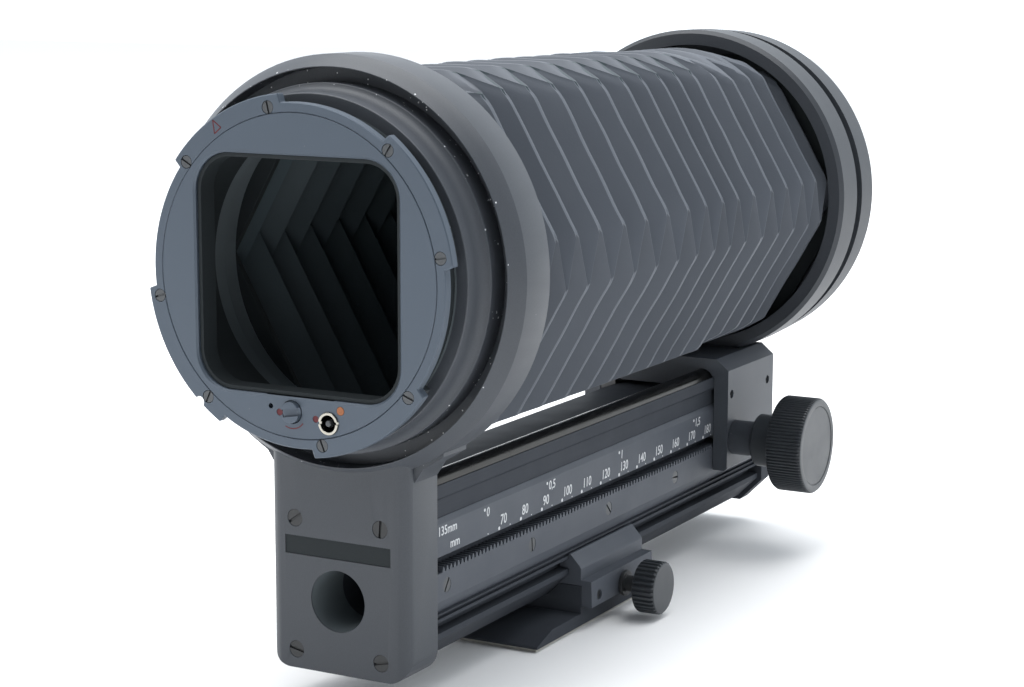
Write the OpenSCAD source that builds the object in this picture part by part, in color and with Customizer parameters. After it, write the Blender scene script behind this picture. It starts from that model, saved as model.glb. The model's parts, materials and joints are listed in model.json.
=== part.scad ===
// Macro bellows unit: a folded bellows between a fixed rear standard and a lens standard
// that is driven along a rail by a rack and pinion, on a tripod foot with a screw clamp.
// Frame: origin at the mouth of the large tripod socket, X to the knob side, Y towards the lens,
// Z up. Inside place() the numbers are read from the rear mount face and the optical axis.

/* [Frame] */
// Height of the optical axis above the foot underside
axis_h = 92.5; // [90:0.1:96]
// Distance from the rear mount face to the tripod socket
socket_y = 96; // [92:0.5:100]

/* [Rear standard] */
// Outer radius of the standard ring
std_r = 43.6; // [43.2:0.1:44]
// Wall outside the trough of the ring
rim_w = 2.6; // [2.4:0.1:2.8]
// Width of the trough round the collar
trough_w = 3; // [2.8:0.1:3.2]
// Flare of the collar
flare_w = 1.8; // [1.6:0.1:2]
// Front face of the column, from the mount face
col_y0 = 14.1; // [13.8:0.1:14.6]
// Thickness of the column
col_t = 12.2; // [12:0.1:12.6]
// Half width of the column
col_half = 17.05; // [16.8:0.05:17.3]
// Reach of the column below the rail
col_over = 0.9; // [0.8:0.05:1]
// Radius of the deep bore in the column
col_bore_r = 6.65; // [6:0.05:7]
// Depth of the bore in the rail
bore_in = 12; // [11:0.5:13]

/* [Mount plate and bayonet] */
// Reach of the tabs past the collar
tab_over = 0.3; // [0.2:0.05:0.4]
// Height of the bayonet tabs
tab_w = 1.8; // [1.7:0.05:1.9]
// Width of the bayonet ring between the tabs
ring_w = 2.05; // [2:0.05:2.1]
// Thickness of the bayonet ring and plate
plate_t = 1.9; // [1.6:0.1:2.2]
// Width of the plate beside the light opening
border_w = 8.45; // [8.3:0.05:8.6]
// Width of the plate at the corners of the opening
corner_w = 1.74; // [1.6:0.02:1.9]
// Head radius of the bayonet screws
bay_head_r = 1.25; // [1.1:0.05:1.25]
// Radius of the slotted cocking shaft
cock_r = 2.3; // [2:0.05:2.3]
// Outer radius of the plunger sleeve
sleeve_r = 2.3; // [2:0.05:2.3]
// Radius of the release plunger
plunger_r = 1.2; // [1:0.05:1.25]

/* [Rail] */
// Half width of the rail
rail_half = 16.6; // [16.5:0.05:16.65]
// Length of the rail
rail_len = 175.1; // [175:0.1:176.5]
// Gap between the larger ring and the rail
ring_gap = 2.1; // [2:0.05:2.3]
// Height of the rail underside above the foot face
seat_h = 7.4; // [7.3:0.05:7.6]
// Radius of the polished guide rod
rod_r = 3; // [2.9:0.02:3.02]
// Thickness of the scale plate
scale_t = 0.9; // [0.8:0.05:1]
// Thickness of the rail end plate
end_t = 5.1; // [4.5:0.1:6]

/* [Rack and pinion] */
// Tooth module of the rack and pinion
gear_m = 0.5; // [0.5:0.05:0.5]
// Number of pinion teeth
pin_n = 8; // [8:1:8]
// Width of the pinion teeth
pin_w = 2; // [1.8:0.1:2]
// Pressure half angle of the teeth
press_deg = 20; // [18:1:22]

/* [Bellows] */
// Number of half pleats
half_pleats = 33; // [31:2:35]
// Distance from the smaller ring in to the mean side
bel_in = 11; // [11:0.1:11.5]
// Fold depth each way
bel_fold = 3; // [2.6:0.1:3]
// Cloth thickness
cloth_t = 0.5; // [0.4:0.05:0.6]
// Thickness of a bellows frame
frame_t = 1.5; // [1.2:0.1:1.5]

/* [Lens standard and carriage] */
// Outer radius of the lens standard
lens_r = 44; // [43.8:0.05:44.1]
// Length of the lens standard
lens_len = 19.1; // [19:0.1:19.5]
// Thickness of the lens ring
ring_t = 5.9; // [5.7:0.1:6.2]
// Length of the carriage
car_len = 31; // [30.5:0.1:31]
// Thickness of the cheek on the knob side
cheek_w = 4.05; // [3.9:0.05:4.2]
// Thickness of the cheek on the far side
far_w = 4.65; // [4.5:0.05:4.8]

/* [Focus knob] */
// Radius of the focus knob
knob_r = 12.5; // [12.2:0.1:12.8]
// Width of the focus knob
knob_w = 9.6; // [9.2:0.1:10]
// Radius of the knob hub
hub_r = 6.9; // [6.6:0.05:7.1]
// Length of the knob hub
hub_len = 6.9; // [6.7:0.1:7.1]
// Radius of the shaft housing
house_r = 4.6; // [4.4:0.05:4.8]
// Length of the shaft housing outside the cheek
house_len = 6.8; // [6.6:0.1:7]
// Radius of the focus shaft
shaft_r = 2; // [1.9:0.05:2.1]
// Ribs round the focus knob
knob_ribs = 60; // [48:2:72]

/* [Foot and clamp] */
// Half width of the foot
foot_half = 20; // [19.8:0.1:20.2]
// Length of the foot behind the socket
foot_back = 30.7; // [30:0.1:31]
// Length of the foot in front of the socket
foot_front = 31.5; // [31:0.1:32]
// Thickness of the foot plate
foot_t = 2.9; // [2.7:0.05:3]
// Thickness of the foot pad
pad_t = 0.9; // [0.8:0.05:1]
// Length of the clamp behind the socket
clamp_back = 9.1; // [8.8:0.1:9.5]
// Length of the clamp in front of the socket
clamp_front = 23.9; // [23.5:0.1:24]
// Thickness of the clamp bar outside the foot
bar_w = 2.9; // [2.7:0.05:3.1]
// Radius of the clamp screw
screw_r = 2; // [1.9:0.05:2]
// Distance from the socket to the clamp screw
screw_at = 8; // [7.5:0.1:8.5]
// Radius of the clamp knob
cknob_r = 6.35; // [6.2:0.05:6.5]
// Width of the clamp knob
cknob_w = 5.8; // [5.5:0.1:6]
// Minor radius of the large tripod thread
tripod_r = 3.97; // [3.97:0.01:3.97]
// Minor radius of the small tripod thread
small_r = 2.55; // [2.55:0.01:2.55]

/* [Clearances] */
// Radial gap of fixed fits
fix_gap = 0.05; // [0.04:0.01:0.06]
// Gap of sliding faces
slide_gap = 0.07; // [0.05:0.01:0.1]
// Radial gap of running shafts
run_gap = 0.05; // [0.03:0.01:0.08]

/* [Hidden] */
$fn = 64;
eps = 0.02;
// Radii of the rear end, from the ring inwards
trough_r = std_r - rim_w;
flare_r = trough_r - trough_w;
collar_r = flare_r - flare_w;
seat_r = collar_r - 0.2;
throat_r = collar_r - 3;
tube_r = collar_r - 3.8;
tab_r = collar_r + tab_over;
ring_r = tab_r - tab_w;
plate_r = ring_r - ring_w;
open_half = plate_r - border_w;
open_corner = (open_half * sqrt(2) - plate_r + corner_w) / (sqrt(2) - 1);
bay_screw_pr = ring_r - 0.68;
// Depths below the axis: the rail fills the height between the larger ring and the foot
lip_z = max(std_r + 0.4, lens_r) + ring_gap;
rail_low = axis_h - seat_h;
function lo(v) = v < 46.1 ? lip_z - 46.1 + v : lip_z + (v - 46.1) * (rail_low - lip_z) / 39;
pad_low = axis_h;
foot_low = axis_h - pad_t;
foot_top = foot_low - foot_t;
seat_z = rail_low + slide_gap;
col_low = rail_low + col_over;
col_bore_z = lo(70.1);
rod_z = lo(47.1);
rod_x = rail_half - rod_r - 0.3;
rail_top = rod_z + rod_r + 0.4;
rack_tip = lo(64.1);
rack_low = lo(73.95);
rack_screw_z = lo(68.3);
car_low = lo(71);
car_top = lens_r - 2.8;
pitch_t = PI * gear_m;
pin_pr = gear_m * pin_n / 2;
pin_z = rack_tip + gear_m - pin_pr;
rack_root = rack_tip + 2.2 * gear_m;
slot_top = pin_z - 1;
scale_top = lo(53.4);
recess_top = pin_z - pin_pr - 0.9 * gear_m - 0.35;
screw_z = (lo(82) + foot_top) / 2 - 0.45;
// Places across the rail
scale_x = rail_half - scale_t;
rack_x = scale_x - pin_w - 0.3;
way_x = rail_half + slide_gap + 0.08;
dove_x = rail_half - 5.6;
groove_x = rail_half - 2.3;
dove = (rail_half - dove_x) / (rail_low - lo(79.5));
function dove_z(x) = lo(79.5) + (rail_half - x) / dove;
function cham_z(x) = rail_top + (x - rail_half + 4.6) * (lo(52.2) - rail_top) / 4.6;
car_right = way_x + cheek_w;
car_left = way_x + far_w;
house_x1 = car_right + house_len;
knob_x0 = house_x1 + hub_len;
knob_x1 = knob_x0 + knob_w;
bar_x = foot_half + bar_w;
cknob_x0 = bar_x + 4.7;
cknob_x1 = cknob_x0 + cknob_w;
// Places along the axis, from the mount face
std_y1 = col_y0 + col_t;
rail_y0 = std_y1;
rail_y1 = rail_y0 + rail_len;
car_y1 = rail_y1 - 0.4;
car_y0 = car_y1 - car_len;
pin_y = car_y0 + 5;
bel_y0 = std_y1 + frame_t;
bel_y1 = car_y1 - 4;
bolt_y = bel_y1 - 2;
lens_y0 = bel_y1 - 7.5;
lens_y1 = lens_y0 + lens_len;
ring_y1 = lens_y1 + ring_t;
bel_mid = min(std_r + 0.4, lens_r) - bel_in;
pleats = round(half_pleats);
foot_y0 = socket_y - foot_back;
foot_y1 = socket_y + foot_front;
clamp_y0 = socket_y - clamp_back;
clamp_y1 = socket_y + clamp_front;
screw_y = socket_y + screw_at;
pin_ys = [clamp_y0 + 4.1, clamp_y1 - 3.9];
tabs = [[6.1, 53.6], [94.8, 143.5], [186.4, 239.1], [275.6, 324.9]];
bay_angles = [10.1, 50.1, 100.1, 140.1, 190.1, 230.1, 280.1, 320.1];
cock_p = [-1.2, -open_half - 3.1];
sleeve_p = [7.6, -open_half - 4.6];
lockhole_p = [-6.3, -open_half - 2.3];
contact_p = [10.4, -open_half - 1.8];
dot_ps = [[-4.2, -open_half - 3.4], [4.5, -open_half - 4]];
index_p = (tab_r - 1.99) * [cos(122.42), sin(122.42)];
col_screws = [for (z = [lo(53.3), lo(81.9)], x = [-10.5, 10.5]) [x, -z]];
col_slots = [35, 85, -12, 14];
end_screw_p = [for (z = [lo(56), lo(80)], x = [-10.5, 10.5]) [x, -z]];
rack_screw_y = [for (t = [0.027, 0.245, 0.468, 0.687, 0.906]) rail_y0 + t * rail_len];

module place() { translate([0, -socket_y, axis_h]) children(); }
module along_y(y0, y1) { translate([0, y1, 0]) rotate([90, 0, 0]) linear_extrude(y1 - y0) children(); }
module along_x(x0, x1) { translate([x0, 0, 0]) rotate([90, 0, 90]) linear_extrude(x1 - x0) children(); }
module turned(pts) { rotate([-90, 0, 0]) rotate_extrude() polygon(pts); }
module rod_y(p, r, y0, y1) { translate([p[0], y0, p[1]]) rotate([-90, 0, 0]) cylinder(r = r, h = y1 - y0); }
module rod_x_at(y, z, r, x0, x1) { translate([x0, y, z]) rotate([0, 90, 0]) cylinder(r = r, h = x1 - x0); }
module disc_y(r, y0, y1) { rod_y([0, 0], r, y0, y1); }

// Square with rounded corners, in two crossed bars and four circles
module soft_square(half, rad) {
    square([2 * half, 2 * (half - rad)], center = true);
    square([2 * (half - rad), 2 * half], center = true);
    for (sx = [-1, 1], sy = [-1, 1]) translate([sx * (half - rad), sy * (half - rad)]) circle(r = rad);
}

// Ring sector from the centre, used for the bayonet tabs
module wedge(a0, a1, r) {
    steps = 6;
    pts = [for (i = [0:steps]) let (a = a0 + (a1 - a0) * i / steps) [1.3 * r * cos(a), 1.3 * r * sin(a)]];
    intersection() {
        circle(r = r);
        polygon(concat([[0, 0]], pts));
    }
}

// Slotted screw along +Y: head from y to y + head_t, shank below it
module slot_screw_y(p, y, hr, head_t, sr, len, ang) {
    difference() {
        union() {
            rod_y(p, hr, y, y + head_t);
            rod_y(p, sr, y + head_t - eps, y + len);
        }
        translate([p[0], y, p[1]]) rotate([0, -ang, 0]) cube([3 * hr, 0.8 * head_t, 0.32 * hr], center = true);
    }
}
module screw_seat_y(p, y, hr, head_t, sr, len) {
    rod_y(p, hr + fix_gap, y - 1, y + head_t);
    rod_y(p, sr + fix_gap, y, y + len + 0.3);
}

// Straight ribs round a knob
module ribbed(r, n, d) {
    polygon([for (i = [0:2 * n - 1]) let (q = r - (i % 2) * d, a = 180 * i / n) [q * cos(a), q * sin(a)]]);
}

// Pinion outline with trapezoid teeth of module m
module gear2d(m, n) {
    ra = m * n / 2 + 0.9 * m;
    rf = m * n / 2 - 1.1 * m;
    half = 90 / n;
    tip = half * 0.42;
    root = half * 1.45;
    polygon([for (i = [0:n - 1], k = [0:3]) let (
        a = 360 * i / n + [-root, -tip, tip, root][k],
        q = [rf, ra, ra, rf][k]) [q * cos(a), q * sin(a)]]);
}

// ---------- foot and clamp ----------
module foot_plate() {
    color("#26282a") place() difference() {
        union() {
            along_x(-foot_half, foot_half) polygon([[foot_y0, -foot_low], [foot_y0, -foot_low + 0.6],
                [foot_y0 + 7.4, -foot_top], [foot_y1 - 7.4, -foot_top], [foot_y1, -foot_low + 0.6],
                [foot_y1, -foot_low]]);
            along_y(clamp_y0, clamp_y1) polygon([[-foot_half, -foot_top - eps], [foot_half, -foot_top - eps],
                [foot_half, -lo(82)], [dove_x + (seat_z - lo(82)) * dove, -lo(82)],
                [dove_x, -seat_z], [-dove_x, -seat_z],
                [-way_l(), -lo(79.53)], [-way_l(), -lo(78.1)], [-groove_x, -lo(78.1)], [-groove_x, -lo(75.9)],
                [-way_l(), -lo(75.9)], [-way_l(), -lo(74.6)], [-rail_half - 0.6, -lo(74.6)],
                [-foot_half + 0.4, -lo(77.2)], [-foot_half, -lo(77.9)]]);
            for (y = [socket_y, socket_y + 14]) translate([0, y, -pad_low])
                cylinder(r = 7 - (y - socket_y) / 14, h = pad_t + 1);
        }
        translate([0, socket_y, -pad_low - 1]) cylinder(r = tripod_r, h = 7.2);
        translate([0, socket_y + 14, -pad_low - 1]) cylinder(r = small_r, h = 7.2);
        rod_x_at(screw_y, -screw_z, screw_r + run_gap, groove_x + 0.2, foot_half + 1);
        for (y = pin_ys) rod_x_at(y, -screw_z + 0.3, 1.2 + run_gap, groove_x, foot_half + 1);
    }
}
function way_l() = rail_half + slide_gap;

module foot_pad() {
    color("#b9a88a") place() difference() {
        translate([-foot_half + 0.8, foot_y0 + 1, -pad_low]) cube([2 * foot_half - 1.6, foot_y1 - foot_y0 - 2, pad_t]);
        for (y = [socket_y, socket_y + 14]) translate([0, y, -pad_low - 1])
            cylinder(r = 7.2 - (y - socket_y) / 14, h = pad_t + 2);
    }
}

module clamp_jaw() {
    color("#2b2d30") place() difference() {
        along_y(clamp_y0, clamp_y1) polygon([[groove_x, -lo(78.1)], [way_l(), -lo(78.1)],
            [way_l(), -dove_z(way_l())], [groove_x, -dove_z(groove_x)], [groove_x, -lo(81.9)],
            [foot_half + 0.1, -lo(81.9)], [foot_half + 0.1, -screw_z - 2], [bar_x, -screw_z - 2],
            [bar_x - 0.2, -lo(80.7)], [foot_half, -lo(80.6)], [foot_half, -lo(77.9)], [foot_half - 0.4, -lo(77.2)],
            [rail_half + 0.6, -lo(74.6)], [way_l(), -lo(74.6)], [way_l(), -lo(75.9)], [groove_x, -lo(75.9)]]);
        rod_x_at(screw_y, -screw_z, screw_r + 0.15, dove_x, bar_x + 1);
        for (y = pin_ys) rod_x_at(y, -screw_z + 0.3, 1.2 + 0.02, dove_x, bar_x + 1);
    }
}

module clamp_pins() {
    color("#8d9093") place() for (y = pin_ys) rod_x_at(y, -screw_z + 0.3, 1.2, groove_x + 1.1, bar_x - 0.6);
}

module clamp_screw() {
    color("#7d8083") place() {
        rod_x_at(screw_y, -screw_z, screw_r, groove_x + 1.1, cknob_x1 - 1);
        rod_x_at(screw_y, -screw_z, screw_r + 1.1, bar_x, bar_x + 0.9);
    }
}

module clamp_knob() {
    color("#2c2e31") place() difference() {
        translate([0, screw_y, -screw_z]) union() {
            along_x(cknob_x0 + 0.4, cknob_x1 - 0.4) ribbed(cknob_r, 26, 0.5);
            rotate([0, 90, 0]) rotate_extrude() polygon([[0, cknob_x0], [cknob_r - 0.9, cknob_x0],
                [cknob_r - 0.65, cknob_x0 + 0.4], [cknob_r - 0.65, cknob_x1 - 0.4],
                [cknob_r - 0.9, cknob_x1], [0, cknob_x1]]);
        }
        rod_x_at(screw_y, -screw_z, screw_r + 0.02, cknob_x0 - 1, cknob_x1 - 1);
    }
}

// ---------- rail ----------
module rail_section() {
    difference() {
        polygon([[-dove_x, -rail_low], [dove_x, -rail_low], [rail_half, -lo(79.5)], [rail_half, -lo(78.2)],
            [rail_half - 2.8, -lo(78.2)], [rail_half - 2.8, -lo(75.8)], [rail_half, -lo(75.8)],
            [rail_half, -lo(75.1)], [rail_half - 0.8, -lo(75.1)], [rail_half - 0.8, -lo(74.3)],
            [rail_half, -lo(74.3)], [rail_half, -rack_low], [rack_x, -rack_low], [rack_x, -recess_top],
            [scale_x - 0.02, -recess_top], [scale_x - 0.02, -scale_top], [rail_half - 0.8, -scale_top],
            [rail_half - 0.8, -lo(49.6)], [rail_half, -lo(48.8)], [rail_half, -lip_z], [rod_x, -lip_z],
            [rod_x, -rail_top], [-rail_half + 4.6, -rail_top], [-rail_half, -lo(52.2)], [-rail_half, -slot_top],
            [-rail_half + 2, -slot_top], [-rail_half + 2, -rack_tip], [-rail_half, -rack_tip],
            [-rail_half, -lo(75.8)], [-rail_half + 2.8, -lo(75.8)], [-rail_half + 2.8, -lo(78.2)],
            [-rail_half, -lo(78.2)], [-rail_half, -lo(79.5)]]);
        translate([rod_x, -rod_z]) circle(r = rod_r + 0.03);
    }
}

module rail() {
    color("#1f2123") place() difference() {
        along_y(rail_y0, rail_y1) rail_section();
        rod_y([0, -col_bore_z], col_bore_r, rail_y0 - 1, rail_y0 + bore_in);
        for (p = col_screws) rod_y(p, 1.25 + fix_gap, rail_y0 - 1, rail_y0 + 7.5);
        for (p = end_screw_p) rod_y(p, 1.25 + fix_gap, rail_y1 - 7.5, rail_y1 + 1);
        for (y = rack_screw_y) rod_x_at(y, -rack_screw_z, 0.9 + fix_gap, rack_x - 3.9, rack_x + 1);
    }
}

module guide_rod() {
    color("#c9cbcd") place() rod_y([rod_x, -rod_z], rod_r, std_y1 - 4, rail_y1 + end_t / 2);
}

module scale_plate() {
    color("#26282a") place() along_y(rail_y0 + 0.5, rail_y1 - 0.5) polygon([[scale_x, -slot_top],
        [rail_half, -slot_top], [rail_half, -scale_top - 1.2], [scale_x + 0.2, -scale_top],
        [scale_x, -scale_top]]);
}

// Rack: straight teeth of the same module as the pinion, a tooth gap centred on the pinion
function rack_first() = pin_y + pitch_t / 2 - floor((pin_y - rail_y0 - 2) / pitch_t) * pitch_t;
module rack() {
    n = floor((rail_y1 - 1.5 - rack_first()) / pitch_t);
    th = rack_root - rack_tip;
    half_tip = pitch_t / 4 - gear_m * tan(press_deg) - 0.03;
    half_root = half_tip + th * tan(press_deg);
    teeth = [for (i = [0:n - 1], k = [0:3]) let (c = rack_first() + i * pitch_t)
        [c + [-half_root, -half_tip, half_tip, half_root][k], -[rack_root, rack_tip, rack_tip, rack_root][k]]];
    color("#303236") place() difference() {
        intersection() {
            along_x(rack_x + 0.05, rail_half - 0.05) polygon(concat([[rail_y0 + 0.5, -rack_root]], teeth,
                [[rail_y1 - 0.6, -rack_root], [rail_y1 - 0.6, -lo(73.9)], [rail_y0 + 0.5, -lo(73.9)]]));
            along_y(rail_y0, rail_y1) polygon([[rack_x, -recess_top], [rail_half, -recess_top],
                [rail_half, -lo(71.2)], [scale_x, -lo(73.9)], [rack_x, -lo(73.9)]]);
        }
        for (y = rack_screw_y) {
            rod_x_at(y, -rack_screw_z, 1.6 + fix_gap, rail_half - 1.05, rail_half + 1);
            rod_x_at(y, -rack_screw_z, 0.9 + fix_gap, rack_x - 1, rail_half);
        }
    }
}

module rack_screws() {
    color("#6f7275") place() for (y = rack_screw_y) difference() {
        union() {
            rod_x_at(y, -rack_screw_z, 1.6, rail_half - 1.05, rail_half - 0.1);
            rod_x_at(y, -rack_screw_z, 0.9, rack_x - 3.6, rail_half - 0.5);
        }
        translate([rail_half - 0.1, y, -rack_screw_z]) rotate([25 + y, 0, 0]) cube([0.9, 4, 0.45], center = true);
    }
}

module rail_end_plate() {
    color("#1d1f21") place() difference() {
        along_y(rail_y1, rail_y1 + end_t) polygon([[-dove_x - 0.5, -rail_low - 1.2], [dove_x + 0.5, -rail_low - 1.2],
            [rail_half + 1.2, -lo(80)], [rail_half + 1.2, -lo(45.3)], [rod_x - 4, -lo(45.3)], [rod_x - 4.9, -lo(49.3)],
            [-rail_half + 4.4, -lo(49.3)], [-rail_half - 1.2, -lo(51.3)], [-rail_half - 1.2, -lo(80)]]);
        rod_y([rod_x, -rod_z], rod_r + 0.03, rail_y1 - 1, rail_y1 + end_t / 2 + 0.2);
        for (p = end_screw_p) {
            rod_y(p, 2.1 + fix_gap, rail_y1 + end_t - 1.5, rail_y1 + end_t + 1);
            rod_y(p, 1.25 + fix_gap, rail_y1 - 1, rail_y1 + end_t);
        }
    }
}

module end_screws() {
    color("#6f7275") place() for (p = end_screw_p) difference() {
        union() {
            rod_y(p, 2.1, rail_y1 + end_t - 1.5, rail_y1 + end_t - 0.1);
            rod_y(p, 1.25, rail_y1 - 7, rail_y1 + end_t - 1);
        }
        translate([p[0], rail_y1 + end_t - 0.1, p[1]]) rotate([0, 20 + 3 * p[1], 0]) cube([6, 1, 0.6], center = true);
    }
}

// ---------- rear standard and mount ----------
module rear_standard() {
    color("#4b4e52") place() difference() {
        union() {
            turned([[0, col_y0 - 1.35], [trough_r + 0.2, col_y0 - 1.35], [std_r, col_y0 + 2.1],
                [std_r, std_y1 - 0.5],
                [std_r - 0.5, std_y1], [0, std_y1]]);
            intersection() {
                along_y(col_y0, std_y1) union() {
                    translate([-col_half, -col_low + 5]) square([2 * col_half, col_low - std_r + 8.6]);
                    translate([-col_half + 5, -col_low]) square([2 * col_half - 10, 8]);
                    for (s = [-1, 1]) translate([s * (col_half - 5), -col_low + 5]) circle(r = 5);
                    for (s = [-1, 1]) polygon([[s * col_half, 0.2 - std_r],
                        [s * (col_half + 2.15), 3.4 - std_r], [s * (col_half + 6.95), 6.4 - std_r],
                        [s * (col_half + 6.95), 9.6 - std_r], [s * (col_half - 2.05), 9.6 - std_r]]);
                }
                translate([0, 0, -col_low - 1]) linear_extrude(col_low) union() {
                    translate([-col_half - 8, col_y0 + 3]) square([2 * col_half + 16, col_t - 3]);
                    translate([-col_half + 3, col_y0]) square([2 * col_half - 6, 6]);
                    for (s = [-1, 1]) translate([s * (col_half - 3), col_y0 + 3]) circle(r = 3);
                }
            }
        }
        disc_y(trough_r, 10, col_y0 + 3.4);
        disc_y(seat_r + fix_gap, 10, col_y0 + 7.4);
        disc_y(throat_r, 10, std_y1 + 1);
        for (p = col_screws) screw_seat_y(p, col_y0, 1.8, 1.2, 1.25, 12.4);
        translate([-13, col_y0 - 1, -lo(61.1)]) cube([26, 1.5, 4]);
        rod_y([0, -col_bore_z], col_bore_r, col_y0 - 1, std_y1 + 1);
        rod_y([rod_x, -rod_z], rod_r + 0.03, std_y1 - 4, std_y1 + 1);
    }
}

module rear_collar() {
    color("#55585c") place() turned(concat([[tube_r, 6], [collar_r, 6]],
        [for (a = [0:15:90]) [collar_r + flare_w * (1 - cos(a)), 9 + 3 * sin(a)]],
        [[flare_r, col_y0 + 3.4], [seat_r, col_y0 + 3.4], [seat_r, col_y0 + 7.4], [tube_r, col_y0 + 7.4]]));
}

module mount_base() {
    color("#17181a") place() difference() {
        union() {
            turned([[tube_r - 1.3, plate_t], [plate_r + 0.55, plate_t], [plate_r + 0.55, 6],
                [tube_r - 0.05, 6], [tube_r - 0.05, 16], [tube_r - 1.3, 16]]);
            for (t = tabs) along_y(plate_t, 4.2) difference() {
                wedge(t[0] + 0.6, t[1] - 0.6, tab_r - 1.2);
                circle(r = plate_r + 0.35);
            }
            along_y(plate_t, 9) intersection() {
                circle(r = tube_r - 0.9);
                translate([-plate_r, -plate_r]) square([2 * plate_r, border_w - 0.6]);
            }
        }
        rod_y(cock_p, cock_r + run_gap, 0, 8.2);
        rod_y(sleeve_p, sleeve_r + fix_gap, 0, 6);
        rod_y(sleeve_p, plunger_r + 0.1, 0, 12);
        rod_y(lockhole_p, 0.9, 0, 6);
        for (a = bay_angles) rod_y(bay_screw_pr * [cos(a), sin(a)], 0.7 + 0.03, 0, 5);
    }
}

module bayonet_ring() {
    color("#5d6874") place() difference() {
        along_y(0, plate_t) difference() {
            union() {
                circle(r = ring_r);
                for (t = tabs) wedge(t[0], t[1], tab_r);
            }
            circle(r = plate_r + fix_gap);
            rotate(228.6) translate([tab_r, 0]) circle(r = 1.2);
        }
        for (a = bay_angles) {
            rod_y(bay_screw_pr * [cos(a), sin(a)], bay_head_r + 0.03, -1, 1.1);
            rod_y(bay_screw_pr * [cos(a), sin(a)], 0.7 + 0.03, -1, 3);
        }
        along_y(-1, 0.4) index_outline(0.03);
    }
}

module mount_plate() {
    color("#5d6874") place() difference() {
        along_y(0, plate_t) difference() {
            circle(r = plate_r);
            soft_square(open_half, open_corner);
            translate([0, -open_half]) square([15, 0.8], center = true);
            translate(cock_p) circle(r = cock_r + run_gap);
            translate(sleeve_p) circle(r = sleeve_r + fix_gap);
            translate(lockhole_p) circle(r = 0.9);
            translate(contact_p) circle(r = 0.85 + fix_gap);
        }
        for (p = dot_ps) rod_y(p, 0.65 + 0.03, -1, 0.5);
    }
}
module index_outline(g) {
    translate(index_p) polygon([[-0.8 - g, 1.37 + 2 * g], [1.2 + 2 * g, -0.03], [-0.4 - g, -1.33 - 2 * g]]);
}

module light_mask() {
    color("#0d0e0f") place() along_y(0.9, 5.5) difference() {
        soft_square(open_half - fix_gap, open_corner);
        soft_square(open_half - 0.9, open_corner - 0.9);
    }
}

module mount_screws() {
    color("#54565a") place() for (i = [0:7]) let (a = bay_angles[i])
        slot_screw_y(bay_screw_pr * [cos(a), sin(a)], 0.06, bay_head_r, 1.04, 0.7, 4.6, 47 * i + 10);
}

module cocking_shaft() {
    color("#8f9296") place() difference() {
        union() {
            rod_y(cock_p, cock_r, -0.5, 8.1);
            rod_y(cock_p, 1.2, 8.1 - eps, 8.15);
        }
        translate([cock_p[0], -0.5, cock_p[1]]) rotate([0, 8, 0]) cube([6, 1.8, 1.0], center = true);
    }
}

module plunger_sleeve() {
    color("#b5b8ba") place() translate([sleeve_p[0], 0, sleeve_p[1]]) turned([[plunger_r + run_gap, -0.35],
        [sleeve_r - 0.3, -0.35], [sleeve_r, -0.05], [sleeve_r, 5.9], [plunger_r + run_gap, 5.9]]);
}

module release_plunger() {
    color("#9fa2a5") place() translate([sleeve_p[0], 0, sleeve_p[1]]) turned([[0, -0.6], [plunger_r - 0.3, -0.6],
        [plunger_r, -0.3], [plunger_r, 9.4], [0, 9.4]]);
}

module red_marks() {
    color("#b3262b") place() {
        for (p = dot_ps) rod_y(p, 0.65, -0.02, 0.5);
        along_y(-0.02, 0.4) index_outline(0);
    }
}

module contact_stud() { color("#b5713f") place() rod_y(contact_p, 0.85, -0.03, plate_t); }

module standard_screws() {
    color("#3d3f42") place() for (i = [0:3])
        slot_screw_y(col_screws[i], col_y0 + 0.1, 1.8, 1.1, 1.25, 19, col_slots[i]);
}

module name_plate() {
    color("#7a7d80") place() translate([-12.95, col_y0 + 0.15, -lo(61.1) + 0.05]) cube([25.9, 0.35, 3.9]);
}

// ---------- bellows: six sides, neighbours half a pleat out of step ----------
module frame_outline() {
    intersection() {
        polygon([for (i = [0:5]) let (q = (bel_mid + 4.2) / cos(30)) [q * cos(60 * i), q * sin(60 * i)]]);
        square([2 * bel_mid + 9.2, 3 * bel_mid], center = true);
        rotate(60) square([2 * bel_mid + 12.8, 3 * bel_mid], center = true);
        rotate(-60) square([2 * bel_mid + 12.8, 3 * bel_mid], center = true);
    }
}
module hex2d(ap) { polygon([for (i = [0:5]) ap / cos(30) * [cos(60 * i), sin(60 * i)]]); }
module bellows_frame(y0) {
    along_y(y0, y0 + frame_t) difference() {
        frame_outline();
        hex2d(bel_mid - 3.6);
    }
}
module rear_frame() { color("#1a1b1d") place() bellows_frame(std_y1); }
module front_frame() { color("#1a1b1d") place() bellows_frame(bel_y1); }

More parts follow.
